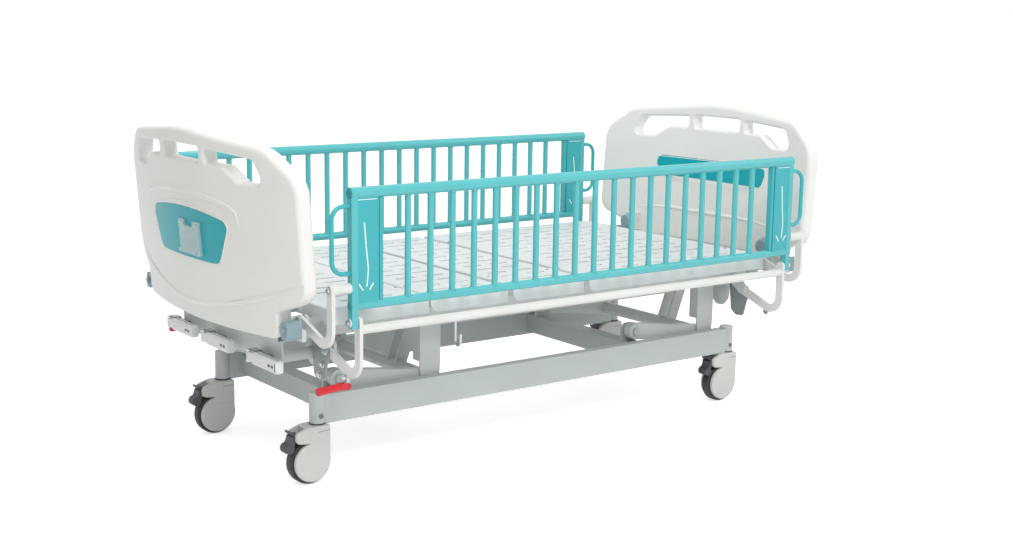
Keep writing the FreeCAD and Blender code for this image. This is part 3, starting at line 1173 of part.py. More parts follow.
def linkage_arm(x, end, pivot_z, tab):
    """J-shaped flat arm from its frame pivot, round the low bend, up to its rail pivot; far side."""
    low_x = end * x - ARM_THICKNESS / 2
    pivot = Vector(low_x, ARM_PIVOT_Y, pivot_z)
    corner = Vector(low_x, RAIL_Y, pivot_z - ARM_HOOK_DROP)
    rail_end = Vector(low_x, RAIL_Y, pivot_z + ARM_RISE)
    thickness = Vector(ARM_THICKNESS, 0, 0)
    arriving = corner.sub(pivot).normalize()
    turn = arriving.getAngle(Z_AXIS)
    cut = ARM_BEND_RADIUS * math.tan(turn / 2)
    bend_start = corner.sub(Vector(arriving).multiply(cut))
    bend_end = corner.add(Vector(0, 0, cut))
    centre = bend_end.sub(Vector(0, ARM_BEND_RADIUS, 0))
    outward = corner.sub(centre).normalize()
    bend_middle = centre.add(outward.multiply(ARM_BEND_RADIUS))
    path = Part.Wire([Part.LineSegment(pivot, bend_start).toShape(),
                      Part.Arc(bend_start, bend_middle, bend_end).toShape(),
                      Part.LineSegment(bend_end, rail_end).toShape()])
    arm = Part.Face(path.makeOffset2D(ARM_WIDTH / 2, 0, False, False)).extrude(thickness)
    if tab:
        fall = ARM_HOOK_DROP * RELEASE_TAB_Y / (RAIL_Y - ARM_PIVOT_Y)
        tab_root = Vector(low_x, ARM_PIVOT_Y + RELEASE_TAB_Y, pivot_z - fall)
        tab_end = Vector(low_x, ARM_PIVOT_Y + RELEASE_TAB_Y, pivot_z - RELEASE_TAB_DROP)
        arm = arm.fuse(plate_along([tab_root, tab_end], RELEASE_TAB_WIDTH, thickness))
        arm = arm.removeSplitter()
        pin = Vector(end * x, tab_end.y, tab_end.z)
        reach = Vector(0, RELEASE_TAB_WIDTH, 0)
        arm = arm.cut(rod(pin.sub(reach), pin.add(reach), RELEASE_PIN_RADIUS + RUNNING_CLEARANCE))
    return arm.cut(rod(pivot, pivot.add(thickness), FRAME_PIN_RADIUS + RUNNING_CLEARANCE))


def rail_pin(x, end, pivot_z, stub):
    """Pin fixed in the arm's rail end, running in the rail post."""
    z = pivot_z + ARM_RISE
    arm_face = Vector(end * x, RAIL_Y, z)
    post_far = Vector(end * (RAIL_HALF_LENGTH - RAIL_POST_WIDTH), RAIL_Y, z)
    beside_post = Vector(end * (RAIL_HALF_LENGTH + RESTING_GAP), RAIL_Y, z)
    if stub:
        return [rod(arm_face, post_far, RAIL_PIN_RADIUS), rod(arm_face, beside_post, STUB_RADIUS)]
    collar_end = Vector(end * (RAIL_HALF_LENGTH + RAIL_COLLAR_LENGTH), RAIL_Y, z)
    return [rod(arm_face, collar_end, RAIL_PIN_RADIUS), rod(beside_post, collar_end, RAIL_COLLAR_RADIUS)]


def upper_arm(end):
    pieces = [linkage_arm(UPPER_ARM_X, end, UPPER_PIVOT_Z, False)]
    pieces += rail_pin(UPPER_ARM_X, end, UPPER_PIVOT_Z, True)
    return fuse(pieces)


def lower_arm(end):
    pieces = [linkage_arm(LOWER_ARM_X, end, LOWER_PIVOT_Z, end < 0)]
    pieces += rail_pin(LOWER_ARM_X, end, LOWER_PIVOT_Z, False)
    return fuse(pieces)


def link_tube():
    z = LOWER_PIVOT_Z + ARM_RISE - LINK_TUBE_DROP
    reach = LOWER_ARM_X - ARM_THICKNESS / 2
    return rod(Vector(-reach, RAIL_Y, z), Vector(reach, RAIL_Y, z), LINK_TUBE_RADIUS)


def pivot_bracket(arm_x, end, pivot_z):
    """Plate on the frame beam that carries one linkage pivot, with its shoulder pin; far side."""
    face = arm_x - ARM_THICKNESS / 2 - SIDE_GAP
    x_pair = (end * face, end * (face - PIVOT_BRACKET_THICKNESS))
    half = PIVOT_BRACKET_HEIGHT / 2
    low = min(max(pivot_z - half, FRAME_BOTTOM_Z), FRAME_TOP_Z - PIVOT_BRACKET_HEIGHT)
    high = max(min(pivot_z + half, FRAME_TOP_Z), FRAME_BOTTOM_Z + PIVOT_BRACKET_HEIGHT)
    nose = ARM_PIVOT_Y + PIVOT_BRACKET_NOSE
    corners = [(FRAME_OUTER_Y, low), (nose, pivot_z - half), (nose, pivot_z + half), (FRAME_OUTER_Y, high)]
    outline = rounded_outline(corners, [0, PIVOT_BRACKET_ROUND, PIVOT_BRACKET_ROUND, 0], "x", min(x_pair))
    plate = outline.extrude(Vector(PIVOT_BRACKET_THICKNESS, 0, 0))
    shank_end = end * (arm_x + ARM_THICKNESS / 2 + BOLT_HEAD_HEIGHT)
    centre = Vector(x_pair[1], ARM_PIVOT_Y, pivot_z)
    shank = rod(centre, Vector(shank_end, ARM_PIVOT_Y, pivot_z), FRAME_PIN_RADIUS)
    collar = rod(Vector(x_pair[0], ARM_PIVOT_Y, pivot_z),
                 Vector(end * (face + SIDE_GAP - RESTING_GAP), ARM_PIVOT_Y, pivot_z), BOLT_HEAD_RADIUS)
    head = rod(Vector(end * (arm_x + ARM_THICKNESS / 2 + RESTING_GAP), ARM_PIVOT_Y, pivot_z),
               Vector(shank_end, ARM_PIVOT_Y, pivot_z), BOLT_HEAD_RADIUS)
    return fuse([plate, shank, collar, head])


def release_lever():
    """Red release lever on the foot-end lower arm: a fork on a pin, with a round handle; far side."""
    x = -LOWER_ARM_X
    y = ARM_PIVOT_Y + RELEASE_TAB_Y
    z = LOWER_PIVOT_Z - RELEASE_TAB_DROP
    half = RELEASE_TAB_WIDTH / 2 + RESTING_GAP
    pin = rod(Vector(x, y - half - RELEASE_CHEEK, z), Vector(x, y + half + RELEASE_CHEEK, z),
              RELEASE_PIN_RADIUS)
    back = x - RELEASE_BLOCK_OFFSET
    pieces = [pin]
    for side in (-1, 1):
        y_pair = (y + side * half, y + side * (half + RELEASE_CHEEK))
        pieces.append(box((back, x), y_pair, (z - RELEASE_BOSS_RADIUS, z + RELEASE_BOSS_RADIUS)))
        pieces.append(rod(Vector(x, y_pair[0], z), Vector(x, y_pair[1], z), RELEASE_BOSS_RADIUS))
    outer = half + RELEASE_CHEEK
    pieces.append(box((back - RELEASE_BLOCK_LENGTH, back), (y - outer, y + outer),
                      (z - RELEASE_BOSS_RADIUS, z + RELEASE_BOSS_RADIUS)))
    root = Vector(back - RELEASE_BLOCK_LENGTH / 2, y, z)
    tip = Vector(x - RELEASE_HANDLE_REACH, y, z - RELEASE_HANDLE_DROP)
    handle = rod(root, tip, RELEASE_HANDLE_RADIUS)
    rim = [edge for edge in handle.Edges if edge.BoundBox.XMax < tip.x + RELEASE_HANDLE_RADIUS / 2]
    pieces.append(handle.makeFillet(RELEASE_HANDLE_RADIUS / 2, rim))
    return fuse(pieces)


def make_rails():
    frame = rail_frame()
    plates = [rail_end_plate(end) for end in (-1, 1)]
    loops = [rail_loop(end) for end in (-1, 1)]
    uppers = [upper_arm(end) for end in (-1, 1)]
    lowers = [lower_arm(end) for end in (-1, 1)]
    brackets = []
    for end in (-1, 1):
        brackets.append(pivot_bracket(UPPER_ARM_X, end, UPPER_PIVOT_Z))
        brackets.append(pivot_bracket(LOWER_ARM_X, end, LOWER_PIVOT_Z))
    lever = release_lever()
    tube = link_tube()
    for side_name, side in SIDES.items():
        turn = (lambda shape: shape) if side > 0 else mirror_y
        save("rail_frame_" + side_name, turn(frame))
        save("rail_ends_" + side_name, *[turn(piece) for piece in plates + loops])
        save("rail_upper_arms_" + side_name, *[turn(piece) for piece in uppers])
        save("rail_lower_arms_" + side_name, *[turn(piece) for piece in lowers + [tube]])
        save("rail_brackets_" + side_name, *[turn(piece) for piece in brackets])
        save("rail_release_" + side_name, turn(lever))


# ---------------------------------------------------------------- cranks

def crank(y):
    """Shaft, hub and throw arm of one crank, and the fold pin at the arm's tip."""
    outer = CRANK_ARM_X - CRANK_ARM_THICKNESS
    pin_x = outer - CRANK_GRIP_DEPTH / 2
    pin_y = y + CRANK_THROW
    half = CRANK_GRIP_HEIGHT / 2
    web_y = (pin_y - CRANK_WEB_REACH, pin_y + CRANK_LUG_RADIUS)
    arm = plate_along([Vector(outer, y, CRANK_Z), Vector(outer, pin_y - CRANK_WEB_REACH / 2, CRANK_Z)],
                      CRANK_GRIP_HEIGHT - 2 * CRANK_NECK_INSET, Vector(CRANK_ARM_THICKNESS, 0, 0))
    shaft = rod(Vector(outer, y, CRANK_Z), Vector(CRANK_ARM_X + CRANK_SHAFT_LENGTH, y, CRANK_Z),
                CRANK_SHAFT_RADIUS)
    web = box((CRANK_ARM_X, outer), web_y, (CRANK_Z - half, CRANK_Z + half))
    pin = rod(Vector(pin_x, pin_y, CRANK_Z - half), Vector(pin_x, pin_y, CRANK_Z + half),
              CRANK_FOLD_PIN_RADIUS)
    pieces = [arm, shaft, web, pin]
    for side in (-1, 1):
        z_pair = (CRANK_Z + side * half, CRANK_Z + side * (half - CRANK_LUG_THICKNESS))
        pieces.append(box((CRANK_ARM_X, pin_x), web_y, z_pair))
        pieces.append(rod(Vector(pin_x, pin_y, z_pair[0]), Vector(pin_x, pin_y, z_pair[1]), CRANK_LUG_RADIUS))
    return fuse(pieces)


def crank_grip(y):
    """Moulded hand grip that folds back along the arm and over the hub."""
    inner_face = CRANK_ARM_X - CRANK_ARM_THICKNESS - RESTING_GAP
    outer_face = inner_face - CRANK_GRIP_DEPTH + SIDE_GAP
    pin_x = CRANK_ARM_X - CRANK_ARM_THICKNESS - CRANK_GRIP_DEPTH / 2
    pin_y = y + CRANK_THROW
    half = CRANK_GRIP_HEIGHT / 2
    knuckle_half = half - CRANK_LUG_THICKNESS - RESTING_GAP
    start_y = pin_y - CRANK_GRIP_SETBACK
    end_y = pin_y + CRANK_GRIP_TAIL - CRANK_GRIP_LENGTH
    block = box((outer_face, inner_face), (end_y, start_y), (CRANK_Z - half, CRANK_Z + half))
    body = block.makeFillet(CRANK_GRIP_ROUND, block.Edges)
    neck = box((outer_face + CRANK_NECK_INSET, inner_face - CRANK_NECK_INSET),
               (start_y - CRANK_NECK_LAP, pin_y), (CRANK_Z - knuckle_half, CRANK_Z + knuckle_half))
    low = Vector(pin_x, pin_y, CRANK_Z - knuckle_half)
    high = Vector(pin_x, pin_y, CRANK_Z + knuckle_half)
    knuckle = rod(low, high, CRANK_LUG_RADIUS)
    return fuse([body, neck, knuckle]).cut(rod(low, high, CRANK_FOLD_PIN_RADIUS + RUNNING_CLEARANCE))


def crank_mount():
    """Bearing plate under the foot-end member, with the three drive tubes behind it."""
    plate_x = (CRANK_PLATE_X, CRANK_PLATE_X + CRANK_PLATE_THICKNESS)
    plate = box(plate_x, (-FRAME_OUTER_Y, FRAME_OUTER_Y), (CRANK_PLATE_BOTTOM_Z, FRAME_BOTTOM_Z))
    bore_end = CRANK_ARM_X + CRANK_SHAFT_LENGTH + SIDE_GAP
    tubes = []
    for y in CRANK_Y:
        front = Vector(plate_x[0], y, CRANK_Z)
        back = Vector(plate_x[1], y, CRANK_Z)
        bore = rod(front, Vector(bore_end, y, CRANK_Z), CRANK_SHAFT_RADIUS + RUNNING_CLEARANCE)
        tube = rod(back, Vector(bore_end + DRIVE_TUBE_CLOSURE, y, CRANK_Z), DRIVE_TUBE_RADIUS)
        plate = plate.cut(bore)
        tubes.append(tube.cut(bore))
    return [plate] + tubes


def make_cranks():
    names = ("leg", "lift", "back")
    for name, y in zip(names, CRANK_Y):
        save("crank_" + name, crank(y))
        save("crank_grip_" + name, crank_grip(y))
    save("crank_mount", *crank_mount())


def main():
    os.makedirs("parts", exist_ok=True)
    make_castors()
    make_base()
    make_lift()
    make_frame()
    make_deck()
    make_boards()
    make_rails()
    make_cranks()


main()
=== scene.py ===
"""Dress a crank-operated children's hospital cot for rendering.

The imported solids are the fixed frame. Every node gets the finish of the real part, and the small
parts that solids leave out, such as weld beads, end plugs, bolt heads and printed arrows, are
modelled here and ride on the body that carries them. The scene is in metres, with +X from the
foot end to the head end, +Y to the far side and +Z up; sizes and places below are in millimetres
unless a comment says otherwise.
"""

import functools
import logging
import math
from dataclasses import dataclass
from enum import Enum
from typing import Callable, Optional, Sequence

import bmesh
import bpy
from mathutils import Matrix, Vector

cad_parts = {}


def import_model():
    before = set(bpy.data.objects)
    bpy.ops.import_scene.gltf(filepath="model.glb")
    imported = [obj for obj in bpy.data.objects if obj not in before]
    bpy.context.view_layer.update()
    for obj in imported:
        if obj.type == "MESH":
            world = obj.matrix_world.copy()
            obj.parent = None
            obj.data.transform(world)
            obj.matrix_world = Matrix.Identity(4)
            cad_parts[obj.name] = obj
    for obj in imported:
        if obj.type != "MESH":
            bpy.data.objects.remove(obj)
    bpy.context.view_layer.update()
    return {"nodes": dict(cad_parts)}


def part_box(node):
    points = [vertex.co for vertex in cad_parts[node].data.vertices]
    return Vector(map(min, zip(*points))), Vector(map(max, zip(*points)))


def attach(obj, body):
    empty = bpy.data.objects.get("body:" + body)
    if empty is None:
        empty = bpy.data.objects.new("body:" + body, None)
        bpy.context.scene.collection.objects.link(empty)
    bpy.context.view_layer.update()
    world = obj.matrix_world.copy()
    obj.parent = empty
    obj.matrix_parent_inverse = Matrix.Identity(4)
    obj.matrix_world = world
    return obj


LOG = logging.getLogger("cot")

MM = 0.001
METRE = 1000.0                      # in millimetres
SMOOTHING_ANGLE = math.radians(38)
BEVEL_ANGLE = math.radians(50)
FACING = 0.9                        # least share of a normal along the way that a face looks
TAPER_TIP = 0.35                    # steps by which a tapered bead ends short of nothing
TAPER_FULLNESS = 0.6                # a lower power gives a fuller bead

Pair = tuple[float, float]
Point = tuple[float, float, float]
Colour = tuple[float, float, float, float]
Socket = bpy.types.NodeSocket
Test = Callable[[Vector, Vector], bool]
Tool = Callable[[], object]

WHITE: Colour = (1.0, 1.0, 1.0, 1.0)
NOISE_SPAN = {"From Min": 0.3, "From Max": 0.7}     # most of a noise's values lie in it


# ------------------------------------------------------------------ shader helpers


def linear(hex_colour: str, factor: float = 1.0) -> Colour:
    """Turn an sRGB hex value into linear RGBA.

    Args:
        hex_colour: Six hex digits with a leading '#'.
        factor: Scale of the brightness, which ends at 1.

    Returns:
        Linear red, green, blue and an alpha of 1.
    """
    digits = hex_colour.lstrip("#")
    channels = [int(digits[i:i + 2], 16) / 255.0 for i in (0, 2, 4)]
    plain = [c / 12.92 if c <= 0.04045 else ((c + 0.055) / 1.055) ** 2.4 for c in channels]
    return tuple(min(1.0, c * factor) for c in plain) + (1.0,)


def add_node(tree: bpy.types.NodeTree, kind: str, settings: Optional[dict] = None,
             links: Optional[dict] = None, stops: Sequence[tuple[float, Colour]] = ()) -> bpy.types.Node:
    """Add one shader node, set its values and link its inputs.

    Args:
        tree: Tree that takes the node.
        kind: Blender's identifier of the node type.
        settings: Property names, or input names and indices, with their values.
        links: Input names or indices with the output socket that feeds each.
        stops: Positions and colours of the node's colour stops, if it has them.

    Returns:
        The new node.
    """
    node = tree.nodes.new(kind)
    for key, value in (settings or {}).items():
        if isinstance(key, int) or (key in node.inputs and not hasattr(node, key)):
            node.inputs[key].default_value = value
        else:
            setattr(node, key, value)
    for key, socket in (links or {}).items():
        tree.links.new(socket, node.inputs[key])
    for index, (position, colour) in enumerate(stops):
        node.color_ramp.elements[index].position = position
        node.color_ramp.elements[index].color = colour
    return node


def seen_directly(tree: bpy.types.NodeTree) -> Socket:
    """Tell the rays that show a surface from those that light the object.

    Args:
        tree: Tree that takes the nodes.

    Returns:
        A socket that is 1 for camera, glossy and transmission rays, and 0 for light.
    """
    rays = add_node(tree, "ShaderNodeLightPath").outputs
    either = add_node(tree, "ShaderNodeMath", {"operation": "MAXIMUM"},
                      {0: rays["Is Camera Ray"], 1: rays["Is Glossy Ray"]})
    return add_node(tree, "ShaderNodeMath", {"operation": "MAXIMUM"},
                    {0: either.outputs[0], 1: rays["Is Transmission Ray"]}).outputs[0]


class Recipe:
    """A new material with its shader and the object coordinates that its patterns read."""

    def __init__(self, name: str) -> None:
        """Make the material and find its shader.

        Args:
            name: The material's name.
        """
        self.material = bpy.data.materials.new(name)
        self.material.use_nodes = True
        self.tree = self.material.node_tree
        self.shader = self.tree.nodes["Principled BSDF"]
        self.coords = add_node(self.tree, "ShaderNodeTexCoord").outputs["Object"]

    def set(self, **values: object) -> None:
        """Set the shader's own sockets, named with underscores for spaces."""
        for key, value in values.items():
            self.shader.inputs[key.replace("_", " ")].default_value = value

    def feed(self, **sockets: Socket) -> None:
        """Link output sockets to the shader's inputs, named with underscores for spaces."""
        for key, socket in sockets.items():
            self.tree.links.new(socket, self.shader.inputs[key.replace("_", " ")])


# ------------------------------------------------------------------ finishes


@dataclass(frozen=True)
class OpaqueFinish:
    """A finish whose colour and gloss drift over wide patches, with a fine relief on top.

    tones scale the colour at both ends of the drift, whose values lie mostly within spread, and
    gloss is how far the roughness goes below and above its middle value.
    """

    name: str
    colour: str
    roughness: float = 0.4
    patch_mm: float = 200.0
    patch_detail: float = 2.0
    spread: Pair = (0.3, 0.7)
    tones: Pair = (0.97, 1.03)
    gloss: Pair = (-0.05, 0.05)
    gloss_follows_relief: bool = False
    relief_mm: float = 0.0
    relief_detail: float = 2.0
    relief: float = 0.0
    relief_depth: float = 0.2
    ior: Optional[float] = 1.5
    specular: float = 0.5
    metallic: float = 0.0

    def build(self) -> bpy.types.Material:
        """Make the material."""
        recipe = Recipe(self.name)
        drift = add_node(recipe.tree, "ShaderNodeTexNoise",
                         {"Scale": METRE / self.patch_mm, "Detail": self.patch_detail},
                         {"Vector": recipe.coords}).outputs["Fac"]
        wear = drift
        if self.relief_mm:
            fine = add_node(recipe.tree, "ShaderNodeTexNoise",
                            {"Scale": METRE / self.relief_mm, "Detail": self.relief_detail},
                            {"Vector": recipe.coords}).outputs["Fac"]
            bump = add_node(recipe.tree, "ShaderNodeBump",
                            {"Strength": self.relief, "Distance": self.relief_depth * MM},
                            {"Height": fine})
            recipe.feed(Normal=bump.outputs["Normal"])
            wear = fine if self.gloss_follows_relief else drift
        stops = [(place, linear(self.colour, tone)) for place, tone in zip(self.spread, self.tones)]
        tint = add_node(recipe.tree, "ShaderNodeValToRGB", links={"Fac": drift}, stops=stops)
        rough = add_node(recipe.tree, "ShaderNodeMapRange",
                         {**NOISE_SPAN, "To Min": self.roughness + self.gloss[0],
                          "To Max": self.roughness + self.gloss[1]}, {"Value": wear})
        recipe.feed(Base_Color=tint.outputs["Color"], Roughness=rough.outputs["Result"])
        recipe.set(Specular_IOR_Level=self.specular, Metallic=self.metallic)
        if self.ior is not None:
            recipe.set(IOR=self.ior)
        return recipe.material


@dataclass(frozen=True)
class PowderCoat(OpaqueFinish):
    """Polyester powder coat on steel: even colour with a faint orange-peel that softens highlights."""

    roughness: float = 0.34
    patch_mm: float = 166.6667
    patch_detail: float = 3.0
    tones: Pair = (0.96, 1.03)
    gloss: Pair = (-0.04, 0.06)
    relief_mm: float = 2.2
    relief: float = 0.05
    relief_depth: float = 0.4


@dataclass(frozen=True)
class MouldedPlastic(OpaqueFinish):
    """Blow- or injection-moulded plastic: a fine spark-eroded grain and slight colour drift.

    The grain is drawn at 0.9 mm, coarser than the real one, so that it shows.
    """

    roughness: float = 0.42
    patch_mm: float = 250.0
    spread: Pair = (0.32, 0.68)
    tones: Pair = (0.975, 1.015)
    gloss_follows_relief: bool = True
    relief_mm: float = 0.9
    relief_detail: float = 3.0
    relief: float = 0.12
    ior: Optional[float] = 1.49


@dataclass(frozen=True)
class ZincPlate(OpaqueFinish):
    """Bright zinc-plated steel: metallic, with soft cloudy variation in its gloss."""

    roughness: float = 0.33
    patch_mm: float = 11.11111
    patch_detail: float = 4.0
    tones: Pair = (0.9, 1.05)
    gloss: Pair = (-0.08, 0.1)
    ior: Optional[float] = None
    metallic: float = 1.0


@dataclass(frozen=True)
class WheelRubber:
    """Castor wheel: black polyurethane tread round a grey nylon centre, told apart by radius."""

    name: str
    axle: Point                     # in metres
    tread: str = "#26272A"
    centre: str = "#A5A6A2"
    centre_radius: float = 44.5
    blend: float = 0.4
    grain_mm: float = 1.428571
    roughness: float = 0.55

    def build(self) -> bpy.types.Material:
        """Make the material."""
        recipe = Recipe(self.name)
        shift = add_node(recipe.tree, "ShaderNodeVectorMath", {"operation": "SUBTRACT", 1: self.axle},
                         {0: recipe.coords})
        flat = add_node(recipe.tree, "ShaderNodeVectorMath",
                        {"operation": "MULTIPLY", 1: (1.0, 0.0, 1.0)}, {0: shift.outputs[0]})
        radius = add_node(recipe.tree, "ShaderNodeVectorMath", {"operation": "LENGTH"}, {0: flat.outputs[0]})
        edge = add_node(recipe.tree, "ShaderNodeMapRange",
                        {"From Min": (self.centre_radius - self.blend) * MM,
                         "From Max": (self.centre_radius + self.blend) * MM},
                        {"Value": radius.outputs["Value"]})
        tint = add_node(recipe.tree, "ShaderNodeValToRGB", links={"Fac": edge.outputs["Result"]},
                        stops=[(0.0, linear(self.centre)), (1.0, linear(self.tread))])
        grain = add_node(recipe.tree, "ShaderNodeTexNoise", {"Scale": METRE / self.grain_mm, "Detail": 2.0},
                         {"Vector": recipe.coords})
        bump = add_node(recipe.tree, "ShaderNodeBump", {"Strength": 0.2, "Distance": 0.3 * MM},
                        {"Height": grain.outputs["Fac"]})
        recipe.feed(Base_Color=tint.outputs["Color"], Normal=bump.outputs["Normal"])
        recipe.set(Roughness=self.roughness)
        return recipe.material


@dataclass(frozen=True)
class ClearAcrylic:
    """Clear moulded acrylic: sees through, with a sharp surface gloss."""

    name: str
    tint: str = "#E4F4F5"
    alpha: float = 0.3
    haze_mm: float = 16.66667
    roughness: Pair = (0.06, 0.14)

    def build(self) -> bpy.types.Material:
        """Make the material."""
        recipe = Recipe(self.name)
        haze = add_node(recipe.tree, "ShaderNodeTexNoise", {"Scale": METRE / self.haze_mm, "Detail": 2.0},
                        {"Vector": recipe.coords})
        rough = add_node(recipe.tree, "ShaderNodeMapRange",
                         {**NOISE_SPAN, "To Min": self.roughness[0], "To Max": self.roughness[1]},
                         {"Value": haze.outputs["Fac"]})
        recipe.feed(Roughness=rough.outputs["Result"])
        recipe.set(Base_Color=linear(self.tint), Alpha=self.alpha, IOR=1.49)
        return recipe.material


class Finish(Enum):
    """The cot's finishes, by part."""

    # Coats on steel: the tubes shine a little more than the flat plates beside them. Both carry one paint,
    # but the tubes' copy is painted lighter, a painted highlight.
    RAIL_PAINTED_HIGHLIGHT = PowderCoat("powder_coat_turquoise", "#58BDC1", roughness=0.24)
    PLATE = PowderCoat("powder_coat_turquoise_plate", "#3DB1B8", roughness=0.3)
    BASE = PowderCoat("powder_coat_silver_grey", "#BEC5C4", roughness=0.38)
    FRAME = PowderCoat("powder_coat_light_grey", "#D0D5D3", roughness=0.38)
    ARM = PowderCoat("powder_coat_warm_white", "#E6E6E2", roughness=0.33)
    LOCK = PowderCoat("powder_coat_lock_grey", "#959C9F", roughness=0.42)
    # Screen print lies on the coat as a thin, duller film. The same white also draws a painted highlight, a
    # thin line under each rail plate's top edge.
    PRINT = PowderCoat("white_print_and_painted_highlight", "#F2F6F5", roughness=0.5)
    # Moulded parts: broad soft highlights on the boards, and duller ones on small nylon parts.
    BOARD = MouldedPlastic("hdpe_board_white", "#EEEDE9", roughness=0.4)
    PANEL = MouldedPlastic("abs_panel_turquoise", "#08A9B4", roughness=0.3, relief=0.06, specular=0.25)
    DECK = MouldedPlastic("abs_deck_pale_grey", "#E3E6E6", roughness=0.45)
    CRANK_GRIP = MouldedPlastic("abs_crank_grip", "#E8EAEB", roughness=0.4)
    RELEASE = MouldedPlastic("abs_signal_red", "#D3202B", roughness=0.28, relief=0.05)
    COVER = MouldedPlastic("nylon_castor_cover", "#D2D2CE", roughness=0.42)
    DARK = MouldedPlastic("nylon_dark_grey", "#34363A", roughness=0.48)
    PEDAL = MouldedPlastic("nylon_pedal_grey", "#45484D", roughness=0.45)
    CATCH = MouldedPlastic("nylon_catch_blue_grey", "#3C4A66", roughness=0.4)
    BUMPER = MouldedPlastic("nylon_blue_grey", "#8DA5AD", roughness=0.45)
    PLUG = MouldedPlastic("ldpe_plug_turquoise", "#35989E", roughness=0.45)
    # Plated steel: bright where new, and dull grey on the leg bolts and stem screws.
    STEEL = ZincPlate("zinc_plated_steel", "#BFC3C6")
    BOLT = ZincPlate("zinc_dulled_bolt", "#7C7F80", roughness=0.42)
    # The panel behind the card holder shows through it.
    CLEAR = ClearAcrylic("clear_acrylic")


@functools.cache
def finish(choice: Finish) -> bpy.types.Material:
    """Return the material of a finish, made once."""
    return choice.value.build()


def paint(obj: bpy.types.Object, material: bpy.types.Material) -> None:
    """Give an object one material in every slot.

    Args:
        obj: The object.
        material: Its material.
    """
    if not obj.material_slots:
        obj.data.materials.append(material)
    for slot in obj.material_slots:
        slot.material = material


# ------------------------------------------------------------------ the studio


@dataclass(frozen=True)
class Lamp:
    """One soft square lamp that points at the middle of the cot."""

    name: str
    place: Point                    # in metres
    side: float                     # in metres
    power: float                    # in watts
    aim: Point = (0.0, 0.0, 0.45)   # in metres

    def hang(self) -> None:
        """Add the lamp and turn it to the cot."""
        data = bpy.data.lights.new(self.name, "AREA")
        data.size = self.side
        data.energy = self.power
        lamp = bpy.data.objects.new(self.name, data)
        bpy.context.scene.collection.objects.link(lamp)
        turn = (Vector(self.aim) - Vector(self.place)).to_track_quat("-Z", "Y").to_matrix().to_4x4()
        lamp.matrix_world = Matrix.Translation(self.place) @ turn


@dataclass
class Studio:
    """Floor, lamps, world and camera."""

    camera_place: Point = (-2.65127, -3.64989, 1.27609)     # in metres
    yaw: float = 0.9292                                     # in radians, as pitch and roll
    pitch: float = 0.1797
    roll: float = 0.0145
    focal_px: float = 1456.2032
    image_width_px: float = 1013.0
    sensor_mm: float = 36.0
    floor_colour: str = "#F4F5F5"
    floor_size: float = 60.0                                # in metres
    floor_drop: float = 0.5                                 # below the object, in millimetres
    floor_lift: float = 0.63
    world_level: float = 0.52
    lamps: tuple[Lamp, ...] = (Lamp("key", (-1.3, -3.9, 3.7), 1.8, 112.0),
                               Lamp("fill", (3.6, -2.6, 2.8), 2.8, 26.0),
                               Lamp("top", (0.0, 0.6, 4.2), 1.7, 42.0))

    def camera(self) -> None:
        """Place the camera."""
        forward = Vector((math.cos(self.pitch) * math.cos(self.yaw),
                          math.cos(self.pitch) * math.sin(self.yaw), -math.sin(self.pitch)))
        right = forward.cross(Vector((0, 0, 1))).normalized()
        up = right.cross(forward)
        side = right * math.cos(self.roll) + up * math.sin(self.roll)
        top = up * math.cos(self.roll) - right * math.sin(self.roll)
        data = bpy.data.cameras.new("camera")
        data.sensor_fit = "HORIZONTAL"
        data.sensor_width = self.sensor_mm
        data.lens = self.focal_px / self.image_width_px * self.sensor_mm
        data.clip_end = self.floor_size
        camera = bpy.data.objects.new("camera", data)
        bpy.context.scene.collection.objects.link(camera)
        matrix = Matrix((side, top, -forward)).transposed().to_4x4()
        matrix.translation = Vector(self.camera_place)
        camera.matrix_world = matrix
        bpy.context.scene.camera = camera

    def floor(self) -> None:
        """Lay the pale floor, lifted to plain white where it is seen directly."""
        bpy.ops.object.select_all(action="DESELECT")
        bpy.ops.mesh.primitive_plane_add(size=self.floor_size, location=(0, 0, -self.floor_drop * MM))
        plane = bpy.context.active_object
        plane.name = "studio_floor"
        recipe = Recipe("studio_floor_white")
        recipe.set(Base_Color=linear(self.floor_colour), Roughness=0.9, Specular_IOR_Level=0.1,
                   Emission_Color=WHITE)
        lift = add_node(recipe.tree, "ShaderNodeMath", {"operation": "MULTIPLY", 1: self.floor_lift},
                        {0: seen_directly(recipe.tree)})
        recipe.feed(Emission_Strength=lift.outputs[0])
        plane.data.materials.append(recipe.material)

    def world(self) -> None:
        """Light everything with an even white surround that looks plain white itself."""
        world = bpy.data.worlds.new("studio_world")
        bpy.context.scene.world = world
        world.use_nodes = True
        tree = world.node_tree
        light = tree.nodes["Background"]
        light.inputs["Color"].default_value = WHITE
        light.inputs["Strength"].default_value = self.world_level
        backdrop = add_node(tree, "ShaderNodeBackground", {"Color": WHITE})
        mix = add_node(tree, "ShaderNodeMixShader",
                       links={0: seen_directly(tree), 1: light.outputs[0], 2: backdrop.outputs[0]})
        tree.links.new(mix.outputs[0], tree.nodes["World Output"].inputs[0])

    def build(self) -> None:
        """Set the studio up."""
        bpy.context.scene.view_settings.view_transform = "Standard"
        self.camera()
        self.floor()
        self.world()
        for lamp in self.lamps:
            lamp.hang()


# ------------------------------------------------------------------ the bench


def mm(*values: float) -> Vector:
    """Turn a point or a size in millimetres into metres."""
    return Vector(values) * MM


def node_box(node: str) -> tuple[Point, Point]:
    """Return a node's lowest and highest corners in millimetres."""
    low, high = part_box(node)
    return tuple(v / MM for v in low), tuple(v / MM for v in high)


def on_axis(point: Point, axis: Point = (0.0, 0.0, 1.0)) -> Matrix:
    """Return the matrix that stands a pattern's +Z on an axis at a point in millimetres."""
    turn = Vector(axis).to_track_quat("Z", "Y").to_matrix().to_4x4()
    return Matrix.Translation(mm(*point)) @ turn


